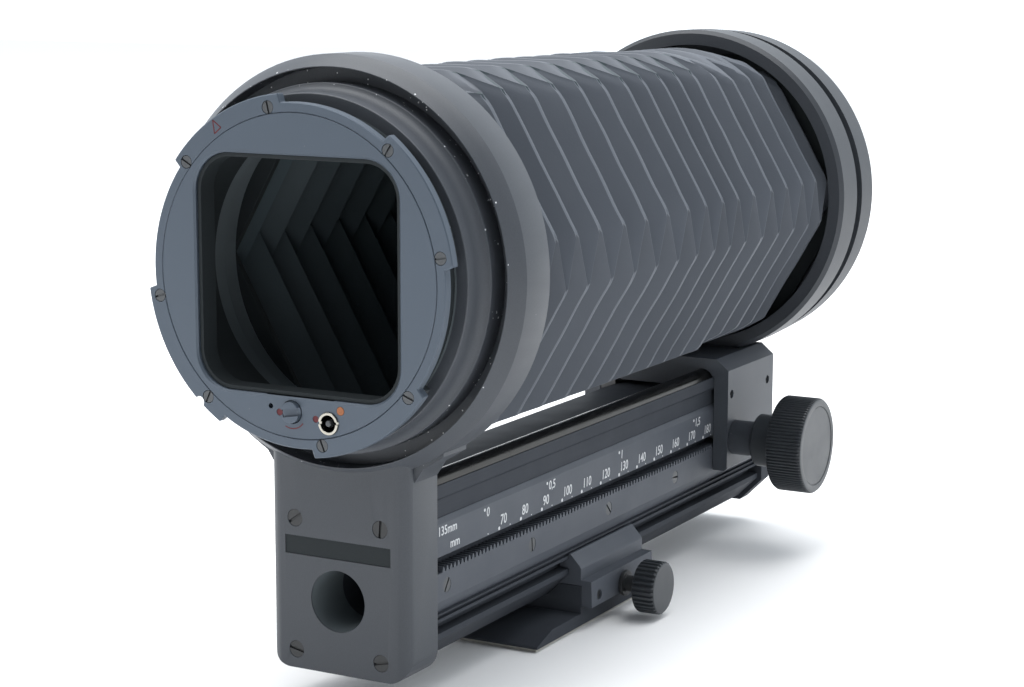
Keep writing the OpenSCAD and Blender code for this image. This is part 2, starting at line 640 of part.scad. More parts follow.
function side_d(i, k, off) = (k == 0 || k == pleats) ? bel_mid - off :
    bel_mid + ((i + k) % 2 == 0 ? bel_fold : -bel_fold) - off;
function side_y(k) = bel_y0 + (bel_y1 - bel_y0) * k / pleats;
function corner(i, k, off) = let (a = 30 + 60 * i, b = a + 60,
    da = side_d(i, k, off), db = side_d((i + 1) % 6, k, off))
    [(da * sin(b) - db * sin(a)) / sin(60), side_y(k), (db * cos(a) - da * cos(b)) / sin(60)];
module bellows() {
    m = pleats + 1;
    outer = [for (k = [0:pleats], i = [0:5]) corner(i, k, 0)];
    inner = [for (k = [0:pleats], i = [0:5]) corner(i, k, cloth_t)];
    b = 6 * m;
    skin = [for (k = [0:pleats - 1], i = [0:5], t = [0:1]) let (j = (i + 1) % 6, p = 6 * k)
        t == 0 ? [p + i, p + j, p + 6 + j] : [p + i, p + 6 + j, p + 6 + i]];
    lining = [for (f = skin) [b + f[0], b + f[2], b + f[1]]];
    caps = [for (i = [0:5], t = [0:3]) let (j = (i + 1) % 6, q = 6 * pleats)
        [[i, b + i, b + j], [i, b + j, j], [q + i, q + j, b + q + j], [q + i, b + q + j, b + q + i]][t]];
    color("#1c1d1f") place()
        polyhedron(points = concat(outer, inner), faces = concat(skin, lining, caps), convexity = 10);
}

// ---------- carriage ----------
module carriage() {
    color("#43464a") place() difference() {
        union() {
            along_y(car_y0, car_y1) difference() {
                polygon([[-car_left + 0.7, -car_low], [car_right - 0.7, -car_low], [car_right, -car_low + 0.7],
                    [car_right, -car_top - 2.9], [car_right - 3.5, -car_top], [-car_left + 3.5, -car_top],
                    [-car_left, -car_top - 2.9], [-car_left, -car_low + 0.7]]);
                polygon([[-way_x, -car_low - 1], [-way_x, -rack_tip + slide_gap],
                    [-rail_half + 1.8, -rack_tip + slide_gap], [-rail_half + 1.8, -slot_top - slide_gap],
                    [-way_x, -slot_top - slide_gap], [-way_x, -lo(47)], [-rail_half + 4.3, -lo(47)],
                    [-rail_half + 4.3, -lo(45)], [-rail_half + 6, -lo(45)], [-rail_half + 6, -lo(49)],
                    [rod_x - rod_r - 0.5, -lo(49)], [rod_x - rod_r - 0.5, -lip_z + 0.15],
                    [way_x, -lip_z + 0.15], [way_x, -car_low - 1]]);
                translate([rod_x, -rod_z]) circle(r = rod_r + run_gap + 0.03);
            }
            translate([rack_x + 0.8, pin_y + 5, -rack_tip + 0.15])
                cube([way_x - rack_x - 0.6, car_y1 - pin_y - 6, rack_tip - slot_top - 0.25]);
        }
        disc_y(lens_r + fix_gap, lens_y0 - 0.05, lens_y1 + 5);
        rod_x_at(pin_y, -pin_z, shaft_r + 1.4 + fix_gap, scale_x - 0.7, car_right + 1);
        for (y = [car_y0 + 2.5, car_y1 - 4]) rod_x_at(y, -lo(50.6), 1.1 + 0.03, way_x - 1, car_right + 1);
        for (y = [car_y0 + 7, car_y1 - 7]) rod_x_at(y, -lo(49.6), 1.2 + 0.03, -car_left - 1, -way_x + 0.5);
        for (x = [-6, 5]) {
            translate([x, bolt_y, -lo(52)]) cylinder(r = 1.5 + fix_gap, h = lo(52) - lens_r + 4);
            translate([x, bolt_y, -lo(49) - 1]) cylinder(r = 2.5 + fix_gap, h = lo(49) - lens_r - 2);
        }
        translate([car_right - 0.8, car_y0 + 17, -car_low - 1]) cube([2, 20, 5.5]);
    }
}

module gib() {
    color("#8a7440") place() along_y(car_y0 + 0.3, car_y1 - 0.3) polygon([[-way_l() + 0.05, -lo(47.05)],
        [-rail_half + 4.2, -lo(47.05)], [-rail_half + 4.2, slide_gap - cham_z(rail_half - 4.2)],
        [-rail_half, slide_gap - cham_z(rail_half)], [-way_l() + 0.05, slide_gap - cham_z(rail_half)]]);
}

module hex_socket_screw_x(y, z, r, x_face, len, dir) {
    difference() {
        rod_x_at(y, z, r, dir > 0 ? x_face - len : x_face, dir > 0 ? x_face : x_face + len);
        translate([x_face - dir * 0.6, y, z]) rotate([0, 90, 0])
            cylinder(r = 0.55 * r, h = 1.4, center = true, $fn = 6);
    }
}
module gib_screws() {
    color("#2a2c2e") place() for (y = [car_y0 + 7, car_y1 - 7])
        hex_socket_screw_x(y, -lo(49.6), 1.2, -car_left + 0.3, 4.4, -1);
}
module cheek_screws() {
    color("#2a2c2e") place() for (y = [car_y0 + 2.5, car_y1 - 4])
        hex_socket_screw_x(y, -lo(50.6), 1.1, car_right - 0.5, 3.4, 1);
}

module standard_bolts() {
    color("#2a2c2e") place() for (x = [-6, 5]) difference() {
        union() {
            translate([x, bolt_y, -lens_r - 5.2]) cylinder(r = 2.5, h = 2.2);
            translate([x, bolt_y, -lens_r - 3.1]) cylinder(r = 1.5, h = 6.2);
        }
        translate([x, bolt_y, -lens_r - 6]) cylinder(r = 1.3, h = 2, $fn = 6);
    }
}

module pinion_housing() {
    color("#4b4e52") place() translate([0, pin_y, -pin_z]) rotate([0, 90, 0]) rotate_extrude() polygon([
        [shaft_r + run_gap, way_x + 0.1], [shaft_r + 1.4, way_x + 0.1], [shaft_r + 1.4, car_right], [house_r, car_right],
        [house_r, house_x1 - 0.4], [house_r - 0.4, house_x1], [shaft_r + run_gap, house_x1]]);
}

// Pinion and shaft in one piece: teeth run behind the scale plate, a thin neck passes under its edge
module pinion_shaft() {
    color("#a7aaad") place() translate([0, pin_y, -pin_z]) union() {
        along_x(rack_x + 0.2, rack_x + 0.2 + pin_w) rotate(90) gear2d(gear_m, pin_n);
        rod_x_at(0, 0, 0.9, rack_x + 0.2 + pin_w - eps, way_x + 0.15 + eps);
        rod_x_at(0, 0, shaft_r, way_x + 0.15, knob_x1 - 1.5);
    }
}

module knob_hub() {
    color("#303235") place() translate([0, pin_y, -pin_z]) rotate([0, 90, 0]) rotate_extrude() polygon([
        [shaft_r + 0.02, house_x1 + 0.12], [hub_r - 0.4, house_x1 + 0.12], [hub_r, house_x1 + 0.52],
        [hub_r, knob_x0], [shaft_r + 0.02, knob_x0]]);
}

module focus_knob() {
    color("#303235") place() translate([0, pin_y, -pin_z]) difference() {
        union() {
            along_x(knob_x0 + 0.6, knob_x1 - 0.6) ribbed(knob_r, knob_ribs, 0.35);
            rotate([0, 90, 0]) rotate_extrude() polygon([[0, knob_x0], [knob_r - 1, knob_x0],
                [knob_r - 0.5, knob_x0 + 0.6], [knob_r - 0.5, knob_x1 - 0.6], [knob_r - 1, knob_x1], [0, knob_x1]]);
        }
        rod_x_at(0, 0, shaft_r + 0.02, knob_x0 - 1, knob_x1 - 1.5);
        rod_x_at(0, 0, knob_r - 2.25, knob_x1 - 0.6, knob_x1 + 1);
    }
}

module knob_cap() {
    color("#3a3c40") place() rod_x_at(pin_y, -pin_z, knob_r - 2.3, knob_x1 - 0.6, knob_x1 - 0.15);
}

// ---------- lens standard ----------
module lens_standard() {
    color("#4b4e52") place() difference() {
        turned([[lens_r - 10.8, bel_y1 + frame_t], [lens_r - 4, bel_y1 + frame_t], [lens_r - 4, lens_y0],
            [lens_r - 1, lens_y0], [lens_r, lens_y0 + 1], [lens_r, lens_y0 + 10.7], [lens_r - 2, lens_y0 + 10.7],
            [lens_r - 2, lens_y1 - 3.5], [lens_r - 0.4, lens_y1 - 3.5],
            [lens_r - 0.4, lens_y1], [lens_r - 10.8, lens_y1]]);
        for (x = [-6, 5]) translate([x, bolt_y, -lens_r - 2]) cylinder(r = 1.5 + fix_gap, h = 5.5);
    }
}

module lens_ring() {
    color("#4b4e52") place() difference() {
        turned([[lens_r - 2.95, lens_y1], [lens_r - 1.4, lens_y1], [lens_r - 1.4, lens_y1 + 0.6],
            [lens_r - 0.7, lens_y1 + 0.6], [lens_r - 0.7, ring_y1 - 0.5],
            [lens_r - 1.2, ring_y1], [lens_r - 2.95, ring_y1]]);
        rod_x_at(lens_y1 + 3.2, 0, 1.5 + run_gap, -lens_r - 6, -lens_r + 4);
    }
}

module lens_bayonet() {
    color("#8d9296") place() difference() {
        disc_y(lens_r - 3, lens_y1, ring_y1 + 0.4);
        disc_y(lens_r - 7.1, lens_y1 - 1, ring_y1 - 1.9);
        disc_y(lens_r - 9.05, lens_y1 - 1, ring_y1 + 2);
        for (t = tabs) along_y(lens_y1, ring_y1 + 2) wedge(t[0] - 0.6, t[1] + 0.6, lens_r - 7.1);
        for (a = [75:60:375]) {
            rod_y((lens_r - 5) * [cos(a), sin(a)], 1.4 + 0.03, ring_y1 - 0.6, ring_y1 + 2);
            rod_y((lens_r - 5) * [cos(a), sin(a)], 0.8 + 0.03, lens_y1 - 1, ring_y1 + 2);
        }
        rod_x_at(lens_y1 + 3.2, 0, 1.5 + run_gap, -lens_r - 6, -lens_r + 5.5);
        rod_x_at(lens_y1 + 3.2, 0, 1 + run_gap, -lens_r + 4, -lens_r + 9);
    }
}

module lens_bayonet_screws() {
    color("#54565a") place() for (a = [75:60:375]) let (p = (lens_r - 5) * [cos(a), sin(a)]) difference() {
        union() {
            rod_y(p, 1.4, ring_y1 - 0.6, ring_y1 + 0.3);
            rod_y(p, 0.8, lens_y1 + 0.1, ring_y1);
        }
        translate([p[0], ring_y1 + 0.3, p[1]]) rotate([0, -a - 15, 0]) cube([4, 0.8, 0.4], center = true);
    }
}

module lens_catch() {
    color("#7d8083") place() translate([-lens_r, lens_y1 + 3.2, 0]) rotate([0, -90, 0]) rotate_extrude() polygon([
        [0, -8.4], [1, -8.4], [1, -5.2], [1.5, -5.2], [1.5, -0.4], [2.4, -0.4], [2.4, 1.8], [2, 2.2], [0, 2.2]]);
}

foot_plate();
foot_pad();
clamp_jaw();
clamp_pins();
clamp_screw();
clamp_knob();
rail();
guide_rod();
scale_plate();
rack();
rack_screws();
rail_end_plate();
end_screws();
rear_standard();
rear_collar();
mount_base();
bayonet_ring();
mount_plate();
light_mask();
mount_screws();
cocking_shaft();
plunger_sleeve();
release_plunger();
red_marks();
contact_stud();
standard_screws();
name_plate();
rear_frame();
bellows();
carriage();
gib();
gib_screws();
cheek_screws();
pinion_housing();
standard_bolts();
lens_standard();
front_frame();
lens_ring();
lens_bayonet();
lens_bayonet_screws();
lens_catch();
pinion_shaft();
knob_hub();
focus_knob();
knob_cap();
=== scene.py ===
"""Looks of the macro bellows unit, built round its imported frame. Lengths in the functions are millimetres
from the rear mount face on the optical axis (x to the knob side, y to the lens, z up) until to_frame()."""

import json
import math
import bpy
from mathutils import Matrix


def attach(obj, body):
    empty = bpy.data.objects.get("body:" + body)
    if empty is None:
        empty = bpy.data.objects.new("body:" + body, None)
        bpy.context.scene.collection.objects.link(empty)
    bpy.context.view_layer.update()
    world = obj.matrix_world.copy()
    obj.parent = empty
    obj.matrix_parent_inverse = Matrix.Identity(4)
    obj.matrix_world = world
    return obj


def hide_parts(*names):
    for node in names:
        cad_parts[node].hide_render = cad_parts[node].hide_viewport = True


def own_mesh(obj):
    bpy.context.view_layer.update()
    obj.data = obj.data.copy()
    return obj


bl_info = {
    "name": "Macro bellows unit",
    "version": (1, 0, 0),
    "blender": (4, 5, 0),
    "location": "View3D > Sidebar > Bellows",
    "description": "Builds the looks of a macro bellows unit round its packed frame",
    "category": "Object",
}

from functools import partial

import bmesh
import bpy
import numpy as np
from mathutils import Matrix, Vector

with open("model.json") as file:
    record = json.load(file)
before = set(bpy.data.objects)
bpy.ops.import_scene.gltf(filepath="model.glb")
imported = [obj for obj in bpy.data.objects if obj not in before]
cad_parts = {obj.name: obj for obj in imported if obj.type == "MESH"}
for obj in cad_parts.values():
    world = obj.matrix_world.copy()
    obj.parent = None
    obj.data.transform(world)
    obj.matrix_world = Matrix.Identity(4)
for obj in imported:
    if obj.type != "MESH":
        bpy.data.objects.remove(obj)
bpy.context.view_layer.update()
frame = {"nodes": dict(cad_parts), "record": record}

MOUNT_FROM_SOCKET = 96.0
AXIS_HEIGHT = 92.5
MM = 0.001
SOFT_STEPS = 3


# ---------------- frame and meshes
def to_frame(points):
    """Millimetres from the mount face on the axis, turned into the row's metres: shift, then scale."""
    return (np.asarray(points, float) + (0.0, -MOUNT_FROM_SOCKET, AXIS_HEIGHT)) * MM


def coordinates(mesh):
    """A mesh's points as an array."""
    co = np.empty(len(mesh.vertices) * 3)
    mesh.vertices.foreach_get("co", co)
    return co.reshape(-1, 3)


def move_to_frame(mesh):
    """Brings a mesh whose points are millimetres into the frame's metres."""
    mesh.vertices.foreach_set("co", to_frame(coordinates(mesh)).ravel())


def outward(mesh):
    """Turns every face so that its normal points out of the solid."""
    bm = bmesh.new()
    bm.from_mesh(mesh)
    bmesh.ops.recalc_face_normals(bm, faces=bm.faces)
    bm.to_mesh(mesh)
    bm.free()


def quad_net(rows, cols, wrap_rows):
    """Quads of a sample grid, round in j: each joins (i, j), (i+1, j), (i+1, j+1) and (i, j+1)."""
    i, j = np.meshgrid(np.arange(rows if wrap_rows else rows - 1), np.arange(cols), indexing="ij")
    i2, j2 = (i + 1) % rows, (j + 1) % cols
    return np.stack([i * cols + j, i2 * cols + j, i2 * cols + j2, i * cols + j2], -1).reshape(-1, 4)


def mesh_from(name, points, quads, smooth_deg=35.0, marks=None):
    """A mesh from an array of millimetre points and an array of quads, with outward normals."""
    mesh = bpy.data.meshes.new(name)
    mesh.vertices.add(len(points))
    mesh.vertices.foreach_set("co", to_frame(points).ravel())
    mesh.loops.add(quads.size)
    mesh.loops.foreach_set("vertex_index", quads.ravel())
    mesh.polygons.add(len(quads))
    mesh.polygons.foreach_set("loop_start", np.arange(len(quads)) * quads.shape[1])
    mesh.update(calc_edges=True)
    for label, values in (marks or {}).items():
        layer = mesh.attributes.new(label, "FLOAT", "POINT")
        layer.data.foreach_set("value", np.asarray(values, float).ravel())
    outward(mesh)
    finish_shading(mesh, smooth_deg)
    return mesh


def finish_shading(mesh, smooth_deg):
    """Smooth shading everywhere, cut at edges sharper than the given angle."""
    mesh.polygons.foreach_set("use_smooth", np.ones(len(mesh.polygons), bool))
    mesh.set_sharp_from_angle(angle=math.radians(smooth_deg))
    mesh.update()


def linked(name, data):
    """A new object in the scene."""
    made = bpy.data.objects.new(name, data)
    bpy.context.scene.collection.objects.link(made)
    return made


def add_piece(name, mesh, body, material, stands_for=()):
    """Links a finished mesh as a piece that rides on a body and stands for the named nodes."""
    piece = linked(name, mesh)
    mesh.materials.clear()
    mesh.materials.append(bpy.data.materials[material])
    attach(piece, body)
    if stands_for:
        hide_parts(*stands_for)
    return piece


def stand_in(name, mesh, node, material):
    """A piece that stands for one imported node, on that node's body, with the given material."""
    return add_piece(name, mesh, body_named(node), material, (node,))


def soften(corners, radius):
    """Closed profile with every corner rounded: the corner is the control point of a quadratic curve
    between the two points that lie the radius along its sides, or 0.45 of the shorter side."""
    c = np.asarray(corners, float)
    back, ahead = np.roll(c, 1, 0) - c, np.roll(c, -1, 0) - c
    lb, la = np.linalg.norm(back, axis=1), np.linalg.norm(ahead, axis=1)
    t = np.minimum(np.broadcast_to(radius, len(c)), 0.45 * np.minimum(lb, la))[:, None]
    p0, p2 = c + back / lb[:, None] * t, c + ahead / la[:, None] * t
    s = np.linspace(0, 1, SOFT_STEPS + 1)[None, :, None]
    return ((1 - s) ** 2 * p0[:, None] + 2 * s * (1 - s) * c[:, None] + s ** 2 * p2[:, None]).reshape(-1, 2)


MERGE_GAP, FLAT_DEG, CUT_SMOOTH_DEG = 2e-6, 0.6, 30.0
EASE_FROM_DEG, EASE_SMOOTH_DEG, EASE_STEPS = 28.0, 32.0, 2


def eased_copy(node, width):
    """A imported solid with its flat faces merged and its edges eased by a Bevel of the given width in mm."""
    mesh = frame["nodes"][node].data.copy()
    mesh.name = "eased_" + node
    bm = bmesh.new()
    bm.from_mesh(mesh)
    bmesh.ops.remove_doubles(bm, verts=bm.verts, dist=MERGE_GAP)
    bmesh.ops.dissolve_limit(bm, angle_limit=math.radians(FLAT_DEG), verts=bm.verts, edges=bm.edges)
    bmesh.ops.recalc_face_normals(bm, faces=bm.faces)
    bm.to_mesh(mesh)
    bm.free()
    finish_shading(mesh, EASE_SMOOTH_DEG)
    bevel = stand_in(mesh.name, mesh, node, look_of(node)).modifiers.new("eased_edges", "BEVEL")
    bevel.width = width * MM
    bevel.segments = EASE_STEPS
    bevel.limit_method = "ANGLE"
    bevel.angle_limit = math.radians(EASE_FROM_DEG)
    bevel.harden_normals = True


def rim_net(rows, angle):
    """Points and quads of a closed band: each row is a radius for every angle at its own y."""
    pts = np.stack([np.stack([r * np.cos(angle), np.broadcast_to(y, angle.shape), r * np.sin(angle)], 1)
                    for r, y in rows])
    return pts.reshape(-1, 3), quad_net(len(rows), len(angle), True)


def turned_ring(profile, segments, ribs=0, depth=0.0, band=(0.0, 0.0, 0.0)):
    """Closed (radius, y) profile turned about the axis: x = r cos a, z = r sin a. Inside the band (from and
    to along y, outside a radius) the radius drops by depth times a rounded wave of that many ribs."""
    a = np.linspace(0, 2 * np.pi, segments, endpoint=False)
    wave = depth * np.clip(0.5 - 0.9 * np.cos(ribs * a), 0, 1)
    return rim_net([(r - wave * (band[0] < y < band[1] and r > band[2]), y) for r, y in profile], a)


def raw_mesh(name, points, faces):
    """A mesh of points and faces as they are, with outward normals."""
    mesh = bpy.data.meshes.new(name)
    mesh.from_pydata(points.tolist(), [], [tuple(f) for f in faces])
    mesh.validate()
    outward(mesh)
    return mesh


def evaluated_mesh(holder):
    """The mesh that an object's modifiers or letters make."""
    bpy.context.view_layer.update()
    return bpy.data.meshes.new_from_object(holder.evaluated_get(bpy.context.evaluated_depsgraph_get()))


def cut_piece(name, stock, tools, node, material):
    """A stock less every tool, each given as points and faces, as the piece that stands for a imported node."""
    holder, *cutters = (linked("cut", raw_mesh(name, *shape)) for shape in (stock, *tools))
    for cutter in cutters:
        step = holder.modifiers.new("cut", "BOOLEAN")
        step.operation, step.solver, step.object = "DIFFERENCE", "EXACT", cutter
    mesh = evaluated_mesh(holder)
    for thing in (holder, *cutters):
        data = thing.data
        bpy.data.objects.remove(thing)
        bpy.data.meshes.remove(data)
    move_to_frame(mesh)
    finish_shading(mesh, CUT_SMOOTH_DEG)
    stand_in(name, mesh, node, material)


def joined(name, shapes):
    """One mesh in the frame of several millimetre shapes, each given as points and faces."""
    points, faces, start = [], [], 0
    for pts, own in shapes:
        points.append(pts)
        faces += [tuple(i + start for i in f) for f in own]
        start += len(pts)
    return raw_mesh(name, to_frame(np.concatenate(points)), faces)


def prism_y(outline, y0, y1):
    """Points and faces of a closed prism along Y over an (x, z) outline."""
    ring, n = np.asarray(outline, float), len(outline)
    walls = [(j, (j + 1) % n, n + (j + 1) % n, n + j) for j in range(n)]
    return (np.concatenate([np.insert(ring, 1, y, axis=1) for y in (y0, y1)]),
            walls + [tuple(range(n)), tuple(range(n, 2 * n))])


def round_outline(centre, radius, sides=40):
    """A circle of (x, z) points round a centre."""
    a = np.linspace(0, 2 * np.pi, sides, endpoint=False)
    return np.stack([centre[0] + radius * np.cos(a), centre[1] + radius * np.sin(a)], 1)


def turned_at(centre, profile, segments):
    """Points and quads of a turned part whose axis runs along Y through a centre (x, z)."""
    points, quads = turned_ring(profile, segments)
    return points + (centre[0], 0, centre[1]), quads


def body_named(node):
    """The body that carries a node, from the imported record."""
    for body, nodes in frame["record"]["behaviour"]["bodies"].items():
        if node in nodes:
            return body
    raise RuntimeError("no body carries " + node)


def slot_named(node):
    """The material slot of a node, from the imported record."""
    return next(s["material_slot"] for s in frame["record"]["subparts"] if s["node"] == node)


# ---------------- materials
def group_nodes(name, inputs, outputs):
    """A new shader group with the named sockets; returns its tree, what it is given and what it gives."""
    group = bpy.data.node_groups.new(name, "ShaderNodeTree")
    for label, kind, value in inputs:
        socket = group.interface.new_socket(label, in_out="INPUT", socket_type="NodeSocket" + kind)
        socket.default_value = value
    for label, kind in outputs:
        group.interface.new_socket(label, in_out="OUTPUT", socket_type="NodeSocket" + kind)
    return group, group.nodes.new("NodeGroupInput").outputs, group.nodes.new("NodeGroupOutput").inputs


def feed(value, socket):
    """Links an output to an input, or sets the input to a number or a colour."""
    if isinstance(value, bpy.types.NodeSocket):
        socket.id_data.links.new(value, socket)
    else:
        socket.default_value = value


def add_node(tree, kind, **settings):
    """A shader node of the given kind with its settings."""
    node = tree.nodes.new("ShaderNode" + kind)
    for key, value in settings.items():
        setattr(node, key, value)
    return node


def fed_node(tree, kind, inputs, **settings):
    """A shader node with its settings, and its inputs fed by name or number."""
    node = add_node(tree, kind, **settings)
    for key, value in inputs.items():
        feed(value, node.inputs[key])
    return node


def noise(place, scale, detail, roughness=0.5):
    """The strength of a noise at the given coordinates."""
    return fed_node(place.id_data, "TexNoise", {
        "Vector": place, "Scale": scale, "Detail": detail, "Roughness": roughness}).outputs["Fac"]


def cells(place, scale):
    """Distance and colour of the Voronoi cells at the given coordinates."""
    return fed_node(place.id_data, "TexVoronoi", {"Vector": place, "Scale": scale}).outputs


def object_place(tree):
    """The object coordinates' output."""
    return add_node(tree, "TexCoord").outputs["Object"]


def channels(colour):
    """The channels of a colour socket."""
    return fed_node(colour.id_data, "SeparateColor", {0: colour}).outputs


def group_use(tree, name, values):
    """A node that uses a shared group, with its inputs set."""
    return fed_node(tree, "Group", values, node_tree=bpy.data.node_groups[name])


def math_node(operation, a, b, clamp=False):
    """A Math node in the first socket's tree; returns its output."""
    return fed_node(a.id_data, "Math", {0: a, 1: b}, operation=operation, use_clamp=clamp).outputs[0]


times, plus, minus, below, above = (partial(math_node, operation) for operation in (
    "MULTIPLY", "ADD", "SUBTRACT", "LESS_THAN", "GREATER_THAN"))


def mix_colour(factor, a, b):
    """A colour mix between two sockets or colours in the factor's tree; returns its output."""
    return fed_node(factor.id_data, "Mix", {0: factor, 6: a, 7: b}, data_type="RGBA").outputs[2]


def finish_effect(given, gives, tone, uneven, height):
    """Ends a group: its colour, its roughness with some unevenness added, and its height."""
    feed(tone, gives["Color"])
    feed(plus(given["Roughness"], uneven, clamp=True), gives["Roughness"])
    feed(height, gives["Height"])


EFFECT_OUTPUTS = (("Color", "Color"), ("Roughness", "Float"), ("Height", "Float"))
LINING_COLOUR = (0.055, 0.074, 0.084, 1.0)
# Painted shade inside holes: its colour, and the roughness that goes with it.
HOLE_SHADE_COLOUR = (0.11, 0.13, 0.14, 1.0)
HOLE_ROUGHNESS = 0.85
DUST_COLOUR = (0.5, 0.5, 0.5, 1.0)
SPECK_COLOUR = (0.75, 0.76, 0.78, 1.0)


def build_paint_group():
    """Powder paint: a colour that drifts slowly, fine grains for the bump, and a few pale dust specks."""
    t, given, gives = group_nodes("paint_grain", (
        ("Colour", "Color", (0.05, 0.05, 0.05, 1)), ("Light Colour", "Color", (0.09, 0.09, 0.1, 1)),
        ("Grain Size", "Float", 4200.0), ("Roughness", "Float", 0.45), ("Dust", "Float", 0.35)), EFFECT_OUTPUTS)
    place = object_place(t)
    fine = noise(place, given["Grain Size"], 3.0, 0.6)
    speck = cells(place, 420.0)
    rare = below(channels(speck["Color"])[0], 0.16)
    dust = times(times(below(speck["Distance"], 0.045), rare), given["Dust"])
    drift = times(minus(noise(place, 55.0, 3.0), 0.5), 0.5)
    share = plus(plus(times(minus(fine, 0.5), 0.9), drift), 0.42, clamp=True)
    tone = mix_colour(dust, mix_colour(share, given["Colour"], given["Light Colour"]), DUST_COLOUR)
    finish_effect(given, gives, tone, times(drift, 0.35), fine)


def build_metal_group():
    """Machined or drawn metal: fine lines along one axis, stretched from noise, with soft blotches."""
    t, given, gives = group_nodes("drawn_metal", (
        ("Colour", "Color", (0.3, 0.3, 0.3, 1)), ("Dark Colour", "Color", (0.1, 0.1, 0.1, 1)),
        ("Stretch", "Vector", (3000.0, 60.0, 3000.0)), ("Roughness", "Float", 0.3), ("Lines", "Float", 0.4)),
        EFFECT_OUTPUTS)
    place = object_place(t)
    stretched = fed_node(t, "VectorMath", {0: place, 1: given["Stretch"]}, operation="MULTIPLY").outputs[0]
    lines = noise(stretched, 1.0, 2.0)
    blotch = noise(place, 120.0, 4.0, 0.6)
    share = plus(times(minus(lines, 0.5), given["Lines"]), times(blotch, 0.35), clamp=True)
    tone = mix_colour(share, given["Colour"], given["Dark Colour"])
    finish_effect(given, gives, tone, times(minus(blotch, 0.5), 0.2), lines)


def build_cloth_group():
    """Coated bellows cloth: a fine pebble, paler fold lines from the piece's ridge mark, partly wear and partly
    a painted highlight, and a dark lining.
    """
    t, given, gives = group_nodes("coated_cloth", (
        ("Colour", "Color", (0.03, 0.03, 0.03, 1)), ("Wear and Highlight Colour", "Color", (0.2, 0.2, 0.2, 1)),
        ("Pebble Size", "Float", 2600.0), ("Roughness", "Float", 0.5), ("Wear and Highlight", "Float", 0.7)), EFFECT_OUTPUTS)
    place = object_place(t)
    pebble = cells(place, given["Pebble Size"])["Distance"]
    broad = noise(place, 90.0, 4.0, 0.6)
    ridge, lining = (add_node(t, "Attribute", attribute_name=mark).outputs["Fac"]
                     for mark in ("ridge", "lining"))
    broken = plus(times(broad, 1.1), 0.1, clamp=True)
    worn_and_lit = times(times(ridge, broken), given["Wear and Highlight"], clamp=True)
    drift = times(minus(broad, 0.42), 0.12, clamp=True)
    tone = mix_colour(plus(worn_and_lit, drift, clamp=True), given["Colour"], given["Wear and Highlight Colour"])
    finish_effect(given, gives, mix_colour(lining, tone, LINING_COLOUR), times(drift, 0.6), pebble)


def build_hole_group():
    """A mask that is 1 between two radii round a line along Y, from a start to an end, and 0 outside it."""
    t, given, gives = group_nodes("hole_shade", (
        ("Centre X", "Float", 0.0), ("Centre Z", "Float", 0.0), ("Inner Radius", "Float", 0.0),
        ("Radius", "Float", 0.01), ("Start", "Float", -1.0), ("End", "Float", 1.0)), (("Mask", "Float"),))
    x, y, z = fed_node(t, "SeparateXYZ", {0: object_place(t)}).outputs
    dx, dz = minus(x, given["Centre X"]), minus(z, given["Centre Z"])
    away = fed_node(t, "Math", {0: plus(times(dx, dx), times(dz, dz))}, operation="SQRT").outputs[0]
    inside = times(below(away, given["Radius"]), above(away, given["Inner Radius"]))
    feed(times(inside, times(above(y, given["Start"]), below(y, given["End"]))), gives["Mask"])


def build_speck_group():
    """A mask of rare small round specks, as fine dust leaves in a groove."""
    t, given, gives = group_nodes("groove_dust", (("Size", "Float", 900.0), ("Share", "Float", 0.3)),
                                  (("Mask", "Float"),))
    speck = cells(object_place(t), given["Size"])
    chance = channels(speck["Color"])
    small = below(speck["Distance"], times(chance[1], 0.26))
    feed(times(small, below(chance[0], given["Share"])), gives["Mask"])


def ring_mask(tree, centre, inner, outer, start, end):
    """The hole mask for millimetre sizes round a centre (x, z)."""
    x, y0, z = to_frame((centre[0], start, centre[1]))
    return group_use(tree, "hole_shade", {
        "Centre X": x, "Centre Z": z, "Inner Radius": inner * MM, "Radius": outer * MM, "Start": y0,
        "End": to_frame((0, end, 0))[1]}).outputs[0]


def inputs_of(mat):
    """A material's node tree, its Principled inputs, and what feeds its colour and roughness."""
    tree = mat.node_tree
    inputs = next(n for n in tree.nodes if n.type == "BSDF_PRINCIPLED").inputs
    return tree, inputs, inputs["Base Color"].links[0].from_socket, inputs["Roughness"].links[0].from_socket


def darken(mat, holes):
    """Puts painted shade inside the given holes (centre, radius, start, end) of a material: a dark, dull grey
    in place of its colour, with a high roughness.
    """
    for centre, radius, start, end in holes:
        t, inputs, colour, rough = inputs_of(mat)
        mask = ring_mask(t, centre, 0.0, radius, start, end)
        feed(mix_colour(mask, colour, HOLE_SHADE_COLOUR), inputs["Base Color"])
        feed(math_node("MAXIMUM", rough, times(mask, HOLE_ROUGHNESS)), inputs["Roughness"])


def dust_band(mat, inner, outer, start, end, size, share, strength):
    """Puts white specks on a material where it runs through a ring round the optical axis."""
    t, inputs, colour, _ = inputs_of(mat)
    specks = group_use(t, "groove_dust", {"Size": size, "Share": share}).outputs[0]
    mask = times(times(ring_mask(t, (0.0, 0.0), inner, outer, start, end), specks), strength)
    feed(mix_colour(mask, colour, SPECK_COLOUR), inputs["Base Color"])


def shaded(name, group, values, metallic, specular, bump, bump_mm):
    """A material: one Principled BSDF fed by a shared group's Color, Roughness and Height. A packed
    material of the same name steps aside."""
    packed = bpy.data.materials.get(name)
    if packed:
        packed.name = "packed_" + name
    mat = bpy.data.materials.new(name)
    mat.use_nodes = True
    t = mat.node_tree
    t.nodes.clear()
    effect = group_use(t, group, values).outputs
    relief = fed_node(t, "Bump", {"Strength": bump, "Distance": bump_mm * MM, "Height": effect["Height"]})
    bsdf = fed_node(t, "BsdfPrincipled", {
        "Metallic": metallic, "Specular IOR Level": specular, "Base Color": effect["Color"],
        "Roughness": effect["Roughness"], "Normal": relief.outputs[0]})
    fed_node(t, "OutputMaterial", {0: bsdf.outputs[0]})


